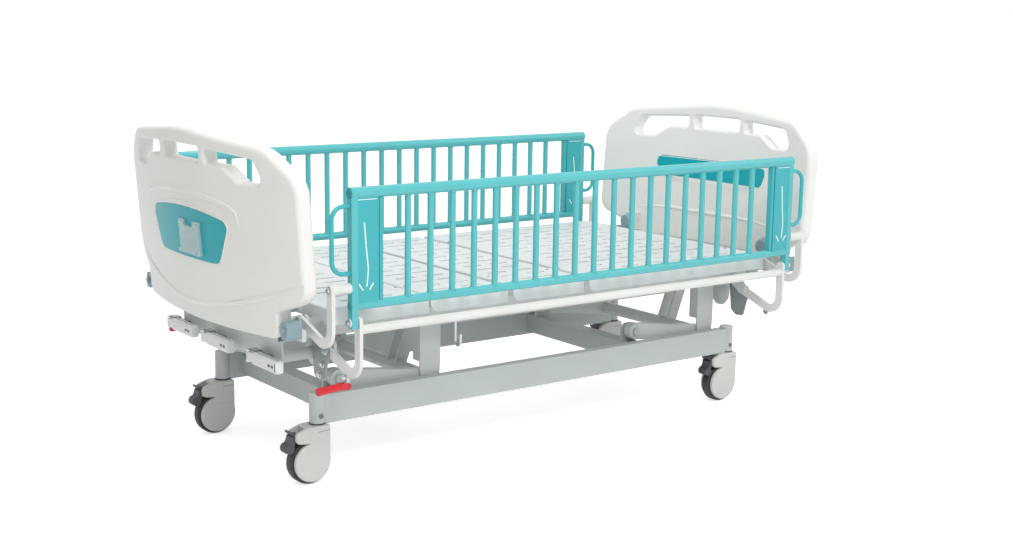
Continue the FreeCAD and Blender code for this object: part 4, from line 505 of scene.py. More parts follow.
def smooth(points: Sequence[Point], steps: int = 5) -> list[Point]:
    """Return points on a soft curve that passes through the points given.

    Args:
        points: Places that the curve passes through.
        steps: Number of stretches between two of them.

    Returns:
        The curve's points.
    """
    knots = [Vector(p) for p in (points[0], *points, points[-1])]
    curve = []
    for a, b, c, d in zip(knots, knots[1:], knots[2:], knots[3:]):
        for k in range(steps):
            t = k / steps
            curve.append(tuple(0.5 * (2 * b + (c - a) * t + (2 * a - 5 * b + 4 * c - d) * t * t
                                      + (3 * b - a - 3 * c + d) * t ** 3)))
    return curve + [tuple(knots[-1])]


def everywhere(place: Vector, normal: Vector) -> bool:
    """Select every element."""
    return True


def upward(place: Vector, normal: Vector) -> bool:
    """Select the faces that look up."""
    return normal.z > FACING


def inset(width: float, rise: float = 0.0) -> Tool:
    """Return the tool that insets faces by a width and lifts them."""
    return lambda: bpy.ops.mesh.inset(thickness=width * MM, depth=rise * MM)


def extrude(*way: float) -> Tool:
    """Return the tool that extrudes the selection along a way."""
    return lambda: bpy.ops.mesh.extrude_region_move(TRANSFORM_OT_translate={"value": mm(*way)})


def select_all() -> None:
    """Select all of the mesh in edit mode."""
    bpy.ops.mesh.select_all(action="SELECT")


def outwards() -> None:
    """Turn the selected faces outwards."""
    bpy.ops.mesh.normals_make_consistent(inside=False)


def merge_doubles(bead: float) -> Tool:
    """Return the tool that merges corners much closer than a bead is thick."""
    return lambda: bpy.ops.mesh.remove_doubles(threshold=bead * MM / 20)


class Workpiece:
    """A piece on the bench: a primitive that edit-mode tools shape, with its place in its mesh."""

    def __init__(self, name: str) -> None:
        """Take up the primitive that was just added and apply its place to its mesh.

        Args:
            name: The piece's name.
        """
        self.obj = bpy.context.active_object
        self.obj.name = name
        self.obj.data.name = name
        bpy.ops.object.transform_apply(location=True, rotation=True, scale=True)

    @classmethod
    def rod(cls, name: str, start: Point, end: Point, radius: float, sides: int = 24) -> "Workpiece":
        """Add a round bar.

        Args:
            name: The piece's name.
            start: Middle of its first end.
            end: Middle of its last end.
            radius: Its radius.
            sides: Number of its sides.

        Returns:
            The bar.
        """
        first, last = mm(*start), mm(*end)
        way = last - first
        bpy.ops.object.select_all(action="DESELECT")
        bpy.ops.mesh.primitive_cylinder_add(vertices=sides, radius=radius * MM, depth=way.length,
                                            location=(first + last) / 2,
                                            rotation=way.to_track_quat("Z", "Y").to_euler())
        return cls(name)

    @classmethod
    def block(cls, name: str, low: Point, high: Point) -> "Workpiece":
        """Add a block.

        Args:
            name: The piece's name.
            low: Its lowest corner.
            high: Its highest corner.

        Returns:
            The block.
        """
        first, last = mm(*low), mm(*high)
        bpy.ops.object.select_all(action="DESELECT")
        bpy.ops.mesh.primitive_cube_add(size=1.0, location=(first + last) / 2, scale=last - first)
        return cls(name)

    @classmethod
    def hoop(cls, name: str, centre: Point, radius: float, bead: float, steps: int = 18) -> "Workpiece":
        """Spin a small round section about the vertical axis through a centre.

        Args:
            name: The piece's name.
            centre: Middle of the hoop.
            radius: Radius of the section's path.
            bead: Radius of the section.
            steps: Number of steps round the hoop.

        Returns:
            The hoop.
        """
        bpy.ops.object.select_all(action="DESELECT")
        bpy.ops.mesh.primitive_circle_add(vertices=8, radius=bead * MM,
                                          location=mm(centre[0] + radius, *centre[1:]),
                                          rotation=(math.pi / 2, 0.0, 0.0))
        return cls(name).shape("VERT", everywhere,
                               lambda: bpy.ops.mesh.spin(steps=steps, angle=math.tau, center=mm(*centre),
                                                         axis=(0, 0, 1)),
                               select_all, merge_doubles(bead), outwards)

    @classmethod
    def chain(cls, name: str, points: Sequence[Point], closed: bool) -> "Workpiece":
        """Draw a chain of edges by extruding one corner from point to point.

        Args:
            name: The piece's name.
            points: The chain's corners in order.
            closed: Whether an edge joins the last corner to the first.

        Returns:
            The chain.
        """
        bpy.ops.object.select_all(action="DESELECT")
        bpy.ops.mesh.primitive_plane_add(size=MM, location=mm(*points[0]))
        steps = [mm(*after) - mm(*before) for before, after in zip(points, points[1:])]
        piece = cls(name).shape(
            "VERT", everywhere, lambda: bpy.ops.mesh.merge(type="CENTER"),
            *[lambda step=step: bpy.ops.mesh.extrude_vertices_move(TRANSFORM_OT_translate={"value": step})
              for step in steps])
        if closed:
            ends = (mm(*points[0]), mm(*points[-1]))
            piece.shape(
                "VERT", lambda place, normal: min((place * MM - end).length for end in ends) < MM / 10,
                lambda: bpy.ops.mesh.edge_face_add())
        return piece

    @classmethod
    def plate(cls, name: str, corners: Sequence[Point], depth: Point, rounding: float = 0.0,
              edge: float = 0.0) -> "Workpiece":
        """Cut a flat plate to an outline, round its corners and break its edges.

        Args:
            name: The piece's name.
            corners: The outline's corners in order.
            depth: The thickness, as a way.
            rounding: Radius of the outline's corners.
            edge: Width of the bevel round both faces.

        Returns:
            The plate.
        """
        tools = [lambda: bpy.ops.mesh.edge_face_add()]
        if rounding:
            tools.append(lambda: bpy.ops.mesh.bevel(offset=rounding * MM, segments=4, affect="VERTICES"))
            tools.append(select_all)
        piece = cls.chain(name, corners, closed=True)
        piece.shape("VERT", everywhere, *tools, extrude(*depth), select_all, outwards)
        if edge:
            piece.modify("BEVEL", width=edge * MM, segments=2, limit_method="ANGLE", angle_limit=BEVEL_ANGLE)
        return piece

    @classmethod
    def wire(cls, name: str, points: Sequence[Point], radius: float, closed: bool = False,
             taper: bool = False) -> "Workpiece":
        """Run a round bead along points.

        Args:
            name: The piece's name.
            points: The bead's middle line.
            radius: Its radius.
            closed: Whether the last point joins the first.
            taper: Whether the bead thins out towards both ends.

        Returns:
            The bead.
        """
        piece = cls.chain(name, points, closed)
        bpy.ops.object.convert(target="CURVE")
        curve = bpy.context.active_object.data
        if taper:
            line = curve.splines[0].points
            for index, point in enumerate(line):
                share = (index + TAPER_TIP) / (len(line) - 1 + 2 * TAPER_TIP)
                point.radius = math.sin(math.pi * share) ** TAPER_FULLNESS
        curve.bevel_depth = radius * MM
        curve.bevel_resolution = 2
        curve.use_fill_caps = True
        bpy.ops.object.convert(target="MESH")
        piece.obj = bpy.context.active_object
        return piece.shape("VERT", everywhere, merge_doubles(radius), outwards)

    @classmethod
    def stroke(cls, name: str, path: Sequence[Point], width: float, thickness: float) -> "Workpiece":
        """Cut a flat stroke that follows a path in the XZ plane and stands off it towards -Y.

        Args:
            name: The piece's name.
            path: The stroke's middle line.
            width: Its width.
            thickness: How far it stands off.

        Returns:
            The stroke.
        """
        points = [Vector(p) for p in path]
        left, right = [], []
        for point, before, after in zip(points, points[:1] + points, points[1:] + points[-1:]):
            side = (after - before).cross(Vector((0, 1, 0))).normalized() * width / 2
            left.append(tuple(point + side))
            right.append(tuple(point - side))
        return cls.plate(name, left + right[::-1], (0, -thickness, 0))

    def shape(self, kind: str, test: Test, *tools: Tool) -> "Workpiece":
        """Select elements by place and normal, and use edit-mode tools on them in turn.

        Args:
            kind: "VERT" or "FACE".
            test: Takes an element's middle in millimetres and its normal.
            tools: The tools, in order.

        Returns:
            The piece itself.
        """
        bpy.ops.object.select_all(action="DESELECT")
        self.obj.select_set(True)
        bpy.context.view_layer.objects.active = self.obj
        bpy.ops.object.mode_set(mode="EDIT")
        bpy.ops.mesh.select_mode(type=kind)
        bpy.ops.mesh.select_all(action="DESELECT")
        mesh = bmesh.from_edit_mesh(self.obj.data)
        if kind == "VERT":
            found = [v for v in mesh.verts if test(v.co / MM, v.normal)]
        else:
            found = [f for f in mesh.faces if test(f.calc_center_median() / MM, f.normal)]
        for element in found:
            element.select_set(True)
        mesh.select_flush_mode()
        bmesh.update_edit_mesh(self.obj.data)
        for tool in tools:
            tool()
        bpy.ops.object.mode_set(mode="OBJECT")
        return self

    def modify(self, kind: str, **settings: object) -> None:
        """Add a modifier with its settings and apply it.

        Args:
            kind: Blender's identifier of the modifier type.
            settings: Its properties with their values.
        """
        modifier = self.obj.modifiers.new(kind.title(), kind)
        for key, value in settings.items():
            setattr(modifier, key, value)
        bpy.context.view_layer.objects.active = self.obj
        bpy.ops.object.modifier_apply(modifier=modifier.name)

    def join(self, *others: "Workpiece", name: str = "") -> "Workpiece":
        """Join other pieces into this one.

        Args:
            others: The pieces that it takes in.
            name: Its new name, if it gets one.

        Returns:
            The piece itself.
        """
        bpy.ops.object.select_all(action="DESELECT")
        for piece in (*others, self):
            piece.obj.select_set(True)
        bpy.context.view_layer.objects.active = self.obj
        bpy.ops.object.join()
        self.obj.name = name or self.obj.name
        return self

    def repeat(self, name: str, places: Sequence[Matrix]) -> "Workpiece":
        """Copy the piece to each place, each copy with its own mesh, and join the copies.

        Args:
            name: Name of the joined copies.
            places: The matrix of each copy.

        Returns:
            The joined copies; the pattern is cleared away.
        """
        bpy.ops.object.select_all(action="DESELECT")
        for place in places:
            twin = bpy.data.objects.new(name, self.obj.data.copy())
            twin.data.transform(place)
            if place.determinant() < 0:
                twin.data.flip_normals()
            bpy.context.scene.collection.objects.link(twin)
            twin.select_set(True)
            bpy.context.view_layer.objects.active = twin
        if len(places) > 1:
            bpy.ops.object.join()
        copies = Workpiece(name)
        bpy.data.objects.remove(self.obj)
        return copies

    def mount(self, body: str, choice: Finish, slot: str) -> None:
        """Smooth the piece, give it its finish and fix it to a body.

        Args:
            body: Body that carries it.
            choice: Its finish.
            slot: Not used.
        """
        bpy.ops.object.select_all(action="DESELECT")
        self.obj.select_set(True)
        bpy.context.view_layer.objects.active = self.obj
        bpy.ops.object.shade_smooth_by_angle(angle=SMOOTHING_ANGLE)
        paint(self.obj, finish(choice))
        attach(self.obj, body)
        LOG.info("mounted %s on %s", self.obj.name, body)


# ------------------------------------------------------------------ sub-assemblies


@dataclass
class CadDress:
    """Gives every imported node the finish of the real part, by how its name starts."""

    nodes: dict[str, bpy.types.Object]
    rules: tuple[tuple[str, Finish], ...] = (
        ("castor_fork", Finish.COVER), ("castor_pedal", Finish.PEDAL), ("castor_posts", Finish.BASE),
        ("base_", Finish.BASE), ("lift_brackets", Finish.BASE), ("post_caps", Finish.COVER),
        ("lift_", Finish.FRAME), ("frame_", Finish.FRAME), ("bag_hooks", Finish.STEEL),
        ("deck_", Finish.DECK), ("headboard_panels", Finish.PANEL), ("footboard_panels", Finish.PANEL),
        ("headboard", Finish.BOARD), ("footboard", Finish.BOARD), ("card_holder", Finish.CLEAR),
        ("board_brackets", Finish.FRAME), ("board_knobs", Finish.BUMPER), ("rail_frame", Finish.RAIL_PAINTED_HIGHLIGHT),
        ("rail_ends", Finish.PLATE), ("rail_brackets", Finish.FRAME), ("rail_release", Finish.RELEASE),
        ("rail_", Finish.ARM), ("crank_grip", Finish.CRANK_GRIP), ("crank_mount", Finish.FRAME),
        ("crank_", Finish.STEEL))

    def finish_of(self, name: str) -> Finish:
        """Return the finish of a node; the sub-frames have the frame's."""
        return next((choice for start, choice in self.rules if name.startswith(start)), Finish.FRAME)

    def build(self) -> None:
        """Assign the finishes."""
        for name, obj in self.nodes.items():
            if name.startswith("castor_wheel"):
                low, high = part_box(name)
                axle = tuple((a + b) / 2 for a, b in zip(low, high))
                paint(obj, WheelRubber("polyurethane_tread_" + name, axle).build())
            else:
                paint(obj, finish(self.finish_of(name)))
        LOG.info("finished %d nodes", len(self.nodes))


@dataclass
class HexBolt:
    """A hexagon head on its washer, standing on +Z at the origin."""

    across_flats: float = 13.0
    head_height: float = 5.0
    washer_radius: float = 10.5
    washer_height: float = 1.6
    chamfer: float = 0.9

    def model(self) -> Workpiece:
        """Model the bolt."""
        washer = Workpiece.rod("washer", (0, 0, 0), (0, 0, self.washer_height), self.washer_radius, 28)
        washer.shape("FACE", upward, inset(self.chamfer / 2, self.chamfer / 4))
        head = Workpiece.rod("hex_head", (0, 0, self.washer_height),
                             (0, 0, self.washer_height + self.head_height),
                             self.across_flats / math.sqrt(3), 6)
        head.shape("FACE", upward, inset(self.chamfer, self.chamfer / 2))
        return head.join(washer)


@dataclass
class PanScrew:
    """A domed screw head with a round driver recess, standing on +Z at the origin.

    The dome, the recess's wall and its depth are shares of the radius and the height.
    """

    radius: float
    height: float
    dome: float = 0.3
    wall: float = 0.05
    recess: float = 0.5

    def model(self) -> Workpiece:
        """Model the screw head."""
        screw = Workpiece.rod("pan_head", (0, 0, 0), (0, 0, self.height), self.radius)
        width = self.radius * self.dome
        return screw.shape("FACE", upward, inset(width, self.height * self.dome), inset(width),
                           inset(self.radius * self.wall, -self.height * self.recess))


@dataclass
class RailDress:
    """Weld beads, end plugs, folded flanges, printed arrows and a painted highlight line under each plate's
    top edge, of one side rail.
    """

    side: int
    label: str
    rail_y: float = 516.0
    half_length: float = 804.0
    top_tube: Pair = (817.0, 15.0)          # height and radius
    bottom_tube: Pair = (529.0, 12.0)
    bar_pitch: float = 70.0
    bar_count: int = 19
    bar_radius: float = 8.5
    bead: float = 1.8
    plug_proud: float = 2.4
    plug_wall: float = 0.8
    plug_insets: Pair = (1.2, 3.0)
    plate_edge_x: float = 724.0
    plate_face: float = 10.0
    flange_width: float = 10.5
    flange_half_depth: float = 8.8
    flange_bevel: float = 0.9
    flange_root: float = 0.6                # how far it reaches into the plate
    flange_overlap: float = 1.0             # how far it reaches into each tube
    fold_step: float = 0.01
    groove: float = 3.2
    arrow_middle: Pair = (761.0, 630.0)
    print_thickness: float = 0.35
    shaft_width: float = 3.4
    shaft: tuple[Point, ...] = ((-6, 0, 112), (-3, 0, 78), (1, 0, 34), (5, 0, -4), (4, 0, -28), (1, 0, -53))
    # The arrowhead's two barbs, then a thin white line near the plate's top that is a painted highlight, not
    # print.
    barbs_and_highlight: tuple[tuple[float, tuple[Point, ...]], ...] = (        # width and path
        (3.4, ((-22, 0, -45), (-10, 0, -62))), (3.4, ((21, 0, -45), (9, 0, -62))),
        (1.8, ((-26, 0, 170), (32, 0, 170))))

    def mount(self, piece: Workpiece, choice: Finish, slot: str) -> None:
        """Fix a piece to this rail's body."""
        piece.mount("side_rail_" + self.label, choice, slot)

    def weld_beads(self) -> None:
        """Lay a bead round each bar at both tubes."""
        pattern = Workpiece.hoop("bead", (0, 0, 0), self.bar_radius + self.bead / 4, self.bead)
        first = -(self.bar_count - 1) / 2 * self.bar_pitch
        heights = (self.top_tube[0] - self.top_tube[1] + self.bead / 2,
                   sum(self.bottom_tube) - self.bead / 2)
        places = [on_axis((first + k * self.bar_pitch, self.side * self.rail_y, z))
                  for k in range(self.bar_count) for z in heights]
        self.mount(pattern.repeat("rail_weld_beads_" + self.label, places), Finish.RAIL_PAINTED_HIGHLIGHT, "teal_coat")

    def plugs(self) -> None:
        """Close both tubes with low domed plugs."""
        plugs = []
        for z, radius in (self.top_tube, self.bottom_tube):
            pattern = Workpiece.rod("plug", (0, 0, 0), (0, 0, self.plug_proud / 2),
                                    radius - self.plug_wall, sides=28)
            pattern.shape("FACE", upward, inset(self.plug_insets[0], self.plug_proud / 3),
                          inset(self.plug_insets[1], self.plug_proud / 6))
            ends = [on_axis((end * self.half_length, self.side * self.rail_y, z), (end, 0, 0))
                    for end in (-1, 1)]
            plugs.append(pattern.repeat("rail_plugs", ends))
        self.mount(plugs[0].join(plugs[1], name="rail_end_plugs_" + self.label), Finish.PLUG, "teal_coat")

    def flanges(self) -> None:
        """Fold a narrow flange on each plate's bar side, with a groove between it and the plate."""
        low = sum(self.bottom_tube) - self.flange_overlap
        high = self.top_tube[0] - self.top_tube[1] + self.flange_overlap
        half, neck = self.flange_half_depth, self.flange_half_depth - self.groove
        pattern = Workpiece.block("flange", (-self.flange_root, -neck, low), (self.groove, neck, high))
        pattern.shape("FACE", lambda place, normal: normal.x > FACING, extrude(self.fold_step, 0, 0),
                      lambda: bpy.ops.transform.resize(value=(1.0, half / neck, 1.0)),
                      extrude(self.flange_width, 0, 0))
        pattern.modify("BEVEL", width=self.flange_bevel * MM, segments=3, limit_method="ANGLE",
                       angle_limit=BEVEL_ANGLE)
        places = [Matrix.Translation(mm(end * self.plate_edge_x, self.side * self.rail_y, 0))
                  @ Matrix.Rotation(turn, 4, "Z") for end, turn in ((-1, 0.0), (1, math.pi))]
        self.mount(pattern.repeat("rail_flanges_" + self.label, places), Finish.PLATE, "teal_coat")

    def arrows(self) -> None:
        """Print a plain arrow on both faces of both plates, pointing the way the rail goes down, and paint a
        thin white highlight line under each plate's top edge.
        """
        pattern = Workpiece.stroke("arrow", smooth(self.shaft), self.shaft_width, self.print_thickness)
        pattern.join(*[Workpiece.stroke("stroke", path, width, self.print_thickness)
                       for width, path in self.barbs_and_highlight])
        x, z = self.arrow_middle
        places = [Matrix.Translation(mm(end * x, self.side * self.rail_y + face * self.plate_face, z))
                  @ Matrix.Rotation(turn, 4, "Z")
                  for end in (-1, 1) for face, turn in ((-1, 0.0), (1, math.pi))]
        self.mount(pattern.repeat("rail_arrows_" + self.label, places), Finish.PRINT, "white_coat")

    def build(self) -> None:
        """Build all of the rail's small parts."""
        self.weld_beads()
        self.plugs()
        self.flanges()
        self.arrows()


@dataclass
class CastorDress:
    """Dust seal, stem screw, cover creases and pedal ribs of one castor."""

    end: int
    side: int
    label: str
    post_x: float = 775.0
    post_y: float = 290.0
    post_radius: float = 22.0
    foot_z: float = 163.0
    seal_bead: float = 1.8
    screw_z: float = 187.0
    screw_size: Pair = (6.5, 3.4)           # radius and height
    screw_sunk: float = 0.4
    cover_half: float = 29.0
    crease: tuple[Point, ...] = ((21, 0, 99), (10, 0, 95), (-6, 0, 94), (-22, 0, 98), (-38, 0, 97),
                                 (-51, 0, 89), (-60, 0, 75), (-64, 0, 60))
    crease_bead: float = 3.2
    crease_sunk: float = 0.55               # share of the bead's radius
    seam: tuple[Point, ...] = ((-12, 0, 146), (6, 0, 147.5), (22, 0, 148))
    seam_bead: float = 0.8
    seam_sunk: float = 0.45
    lobe: Point = (-92.0, 107.5, 13.5)      # x, z and radius
    rib_radius: float = 1.5
    rib_inset: float = 2.0
    rib_chamfer: float = 0.5
    rib_angles: tuple[float, ...] = (120.0, 145.0, 170.0, 195.0, 220.0)

    def local(self, x: float, y: float, z: float) -> Point:
        """Turn a place given from the post's axis into one in the cot's frame."""
        return (self.end * self.post_x + x, self.side * self.post_y + y, z)

    def seal(self) -> None:
        """Fit the dark dust seal round the post's foot."""
        centre = self.local(0, 0, self.foot_z + self.seal_bead)
        Workpiece.hoop("castor_seal_" + self.label, centre, self.post_radius, self.seal_bead, 28).mount(
            "base", Finish.DARK, "dark_plastic")

    def screw(self) -> None:
        """Set the screw that clamps the castor's stem in the post."""
        place = on_axis(self.local(0, self.side * (self.post_radius - self.screw_sunk), self.screw_z),
                        (0, self.side, 0))
        PanScrew(*self.screw_size).model().repeat("castor_stem_screw_" + self.label, [place]).mount(
            "base", Finish.BOLT, "zinc_steel")

    def lines(self, name: str, points: Sequence[Point], bead: float, sunk: float, taper: bool) -> Workpiece:
        """Run a bead along the same line on both faces of the cover.

        Args:
            name: The joined beads' name, without the castor's label.
            points: The line, from the post's axis.
            bead: The bead's radius.
            sunk: How far its middle lies inside the face.
            taper: Whether it thins out towards both ends.

        Returns:
            The joined beads.
        """
        near, far = [Workpiece.wire("line", [self.local(x, face * (self.cover_half - sunk), z)
                                             for x, y, z in points], bead, taper=taper) for face in (-1, 1)]
        return near.join(far, name=name + "_" + self.label)

    def creases(self) -> None:
        """Raise the moulded crease on both faces of the cover."""
        sunk = self.crease_bead * self.crease_sunk
        self.lines("castor_creases", smooth(self.crease), self.crease_bead, sunk, True).mount(
            "castor_" + self.label, Finish.COVER, "castor_plastic")

    def seams(self) -> None:
        """Draw the dark parting line below the cover's crown on both faces."""
        self.lines("castor_seams", self.seam, self.seam_bead, self.seam_sunk, False).mount(
            "castor_" + self.label, Finish.DARK, "dark_plastic")

    def ribs(self) -> None:
        """Mould grip ribs across the pedal's lobe."""
        x, z, radius = self.lobe
        low, high = node_box("castor_pedal_" + self.label)
        pattern = Workpiece.rod("rib", (0, low[1] + self.rib_inset, 0), (0, high[1] - self.rib_inset, 0),
                                self.rib_radius, 12)
        pattern.shape("FACE", lambda place, normal: abs(normal.y) > FACING,
                      inset(self.rib_chamfer, self.rib_chamfer))
        middle = self.end * self.post_x + x
        places = [Matrix.Translation(mm(middle + radius * math.cos(a), 0, z + radius * math.sin(a)))
                  for a in map(math.radians, self.rib_angles)]
        pattern.repeat("castor_pedal_ribs_" + self.label, places).mount(
            "castor_pedal_body_" + self.label, Finish.PEDAL, "dark_plastic")

    def build(self) -> None:
        """Build all of the castor's small parts."""
        self.seal()
        self.screw()
        self.creases()
        self.seams()
        self.ribs()


@dataclass
class LinkageDress:
    """Lock plate, gusset and bolts of the side rail's linkage at one corner.

    Outlines and pivots give the distance from the cot's middle plane and the height.
    """

    end: int
    side: int
    label: str
    rail: str
    thickness: float = 5.0
    plate_x: float = 783.8
    plate: tuple[Pair, ...] = ((287, 404.7), (314, 404.7), (322, 396), (364, 396), (377, 384),
                               (376, 366), (367, 345), (353, 294), (322, 291), (299, 306))
    plate_rounding: float = 6.0
    plate_bolts: tuple[Pair, ...] = ((346, 341), (331, 309), (360, 380))
    gusset_x: float = 770.0
    gusset: tuple[Pair, ...] = ((217, 404.7), (304, 404.7), (304, 348), (283, 320), (246, 318), (222, 346))
    gusset_rounding: float = 10.0
    edge: float = 0.8
    upper_arm_x: float = 864.0
    upper_pivots: tuple[Pair, ...] = ((360, 470), (516, 575))
    lower_arm_x: float = 808.0
    lower_rail_pin: Pair = (516, 485)
    lever_x: float = 783.0
    lever_bolt: Pair = (455, 326)

    def at(self, x: float, pair: Pair) -> Point:
        """Place a point given by its distance from the middle plane and its height."""
        return (self.end * x, self.side * pair[0], pair[1])

    def sheet(self, name: str, x: float, outline: Sequence[Pair], thickness: float,
              rounding: float) -> Workpiece:
        """Cut a plate that stands across the cot.

        Args:
            name: The plate's name, without the corner's label.
            x: Where its first face lies.
            outline: Its outline.
            thickness: Its thickness, which counts outwards.
            rounding: Radius of the outline's corners.

        Returns:
            The plate.
        """
        return Workpiece.plate(name + "_" + self.label, [self.at(x, pair) for pair in outline],
                               (self.end * thickness, 0, 0), rounding, self.edge)

    def bolts(self, name: str, body: str, places: Sequence[Point]) -> None:
        """Fit bolt heads that face the cot's end.

        Args:
            name: The bolts' name, without the corner's label.
            body: Body that carries them.
            places: Where they stand.
        """
        matrices = [on_axis(place, (self.end, 0, 0)) for place in places]
        HexBolt().model().repeat(name + "_" + self.label, matrices).mount(body, Finish.STEEL, "zinc_steel")

    def build(self) -> None:
        """Build the corner's plates and bolts."""
        self.sheet("lock_plate", self.plate_x, self.plate, self.thickness, self.plate_rounding).mount(
            "bed_frame", Finish.LOCK, "dark_plastic")
        self.sheet("end_gusset", self.gusset_x, self.gusset, -self.thickness, self.gusset_rounding).mount(
            "bed_frame", Finish.FRAME, "grey_coat")
        self.bolts("lock_plate_bolts", "bed_frame",
                   [self.at(self.plate_x + self.thickness, pair) for pair in self.plate_bolts])
        self.bolts("upper_arm_bolts", "rail_upper_arm_" + self.rail,
                   [self.at(self.upper_arm_x, pair) for pair in self.upper_pivots])
        self.bolts("lower_arm_bolt", "rail_lower_arm_" + self.rail,
                   [self.at(self.lower_arm_x, self.lower_rail_pin), self.at(self.lever_x, self.lever_bolt)])


@dataclass(frozen=True)
class PanelShape:
    """Outline of a panel: half widths at its top and bottom, both heights and its crown."""

    top: float
    bottom: float
    low: float
    high: float
    crown: float


@dataclass
class BoardDress:
    """Edge trims round one end board's panels, and its embossed crest and fold lines."""

    end: int
    label: str
    outer_x: float = 1016.0
    half_width: float = 505.0
    sagitta: float = 78.0
    thickness: float = 45.0
    lean: float = 4.0                       # in degrees
    lean_z: float = 700.0
    outer_panel: PanelShape = PanelShape(238.0, 182.0, 602.0, 718.0, 36.0)
    inner_panel: PanelShape = PanelShape(276.0, 250.0, 690.0, 760.0, 0.0)
    crown_steps: int = 12
    corner: float = 26.0
    corner_reach: float = 1.1               # crown points nearer a corner than this share are left out
    trim: float = 1.7
    crest: tuple[Pair, ...] = ((-268, 655), (-276, 700), (-274, 738), (-252, 760), (-157, 778), (0, 785),
                               (157, 778), (252, 760), (274, 738), (276, 700), (268, 655))
    fold: tuple[Pair, ...] = ((-455, 572), (-365, 540), (-286, 520), (-184, 499), (-80, 484), (0, 480),
                              (80, 484), (184, 499), (286, 520), (365, 540), (455, 572))
    back_fold: tuple[Pair, ...] = ((-440, 520), (-340, 566), (-209, 578), (-83, 577), (0, 577), (83, 577),
                                   (209, 578), (340, 566), (440, 520))
    line_bead: float = 9.0
    line_proud: float = 4.4

    def surface(self, y: float, z: float, inward: float) -> Point:
        """Find a place on the board's curved, leaning face.

        Args:
            y: Its place across the board.
            z: Its height.
            inward: How far it lies behind the outer face.

        Returns:
            The place.
        """
        arc = (self.half_width ** 2 + self.sagitta ** 2) / (2 * self.sagitta) - inward
        slope = math.tan(math.radians(self.lean))
        x = self.outer_x - inward - arc + math.sqrt(arc * arc - y * y) + (z - self.lean_z) * slope
        return (self.end * x, y, z)

    def outline(self, panel: PanelShape) -> list[Pair]:
        """Draw the rounded outline of a panel.

        Args:
            panel: The panel's shape.

        Returns:
            The outline, as widths and heights.
        """
        shares = [2 * k / self.crown_steps for k in range(self.crown_steps + 1)]
        top = [(panel.top * (1 - t), panel.high + panel.crown * (1 - (1 - t) ** 2)) for t in shares]
        loop = top + [(-panel.bottom, panel.low), (panel.bottom, panel.low)]
        path: list[Pair] = []
        for index, here in enumerate(loop):
            if index == 0 or index >= self.crown_steps:
                path += self.rounded(loop[index - 1], here, loop[(index + 1) % len(loop)])
            elif min(math.dist(here, top[0]), math.dist(here, top[-1])) > self.corner * self.corner_reach:
                path.append(here)
        return path

    def rounded(self, before: Pair, here: Pair, after: Pair) -> list[Pair]:
        """Round a corner.

        Args:
            before: The corner before it.
            here: The corner.
            after: The corner after it.

        Returns:
            A few points in its place.
        """
        corner = Vector(here)
        first = corner + (Vector(before) - corner).normalized() * self.corner
        last = corner + (Vector(after) - corner).normalized() * self.corner
        return [tuple(first * (1 - t) ** 2 + corner * 2 * t * (1 - t) + last * t * t)
                for t in (0.0, 0.25, 0.5, 0.75, 1.0)]

    def trims(self) -> None:
        """Run a light edge bead round both panels."""
        outer, inner = [Workpiece.wire("trim", [self.surface(y, z, inward) for y, z in self.outline(panel)],
                                       self.trim, closed=True)
                        for panel, inward in ((self.outer_panel, 0.0), (self.inner_panel, self.thickness))]
        outer.join(inner, name=self.label + "_panel_trims").mount("bed_frame", Finish.BOARD, "board_plastic")

    def embossed_lines(self) -> None:
        """Emboss the crest over the outer panel and the folds low on both faces."""
        sunk = self.line_bead - self.line_proud
        for name, line, inward in (("crest", self.crest, sunk), ("fold", self.fold, sunk),
                                   ("back_fold", self.back_fold, self.thickness - sunk)):
            path = [self.surface(y, z, inward) for x, y, z in smooth([(0.0, *pair) for pair in line])]
            Workpiece.wire(self.label + "_" + name + "_line", path, self.line_bead, taper=True).mount(
                "bed_frame", Finish.BOARD, "board_plastic")

    def build(self) -> None:
        """Build the board's small parts."""
        self.trims()
        self.embossed_lines()


@dataclass
class CardDress:
    """Corner studs of the clear card holder on the foot board."""

    inset: float = 9.0
    stud_size: Pair = (4.2, 3.0)            # radius and height
    stud_sunk: float = 2.0

    def build(self) -> None:
        """Fit a stud in each corner of the holder."""
        low, high = node_box("card_holder")
        places = [on_axis((low[0] + self.stud_sunk, y, z), (-1, 0, 0))
                  for y in (low[1] + self.inset, high[1] - self.inset)
                  for z in (low[2] + self.inset, high[2] - self.inset)]
        PanScrew(*self.stud_size).model().repeat("card_holder_studs", places).mount(
            "bed_frame", Finish.STEEL, "zinc_steel")


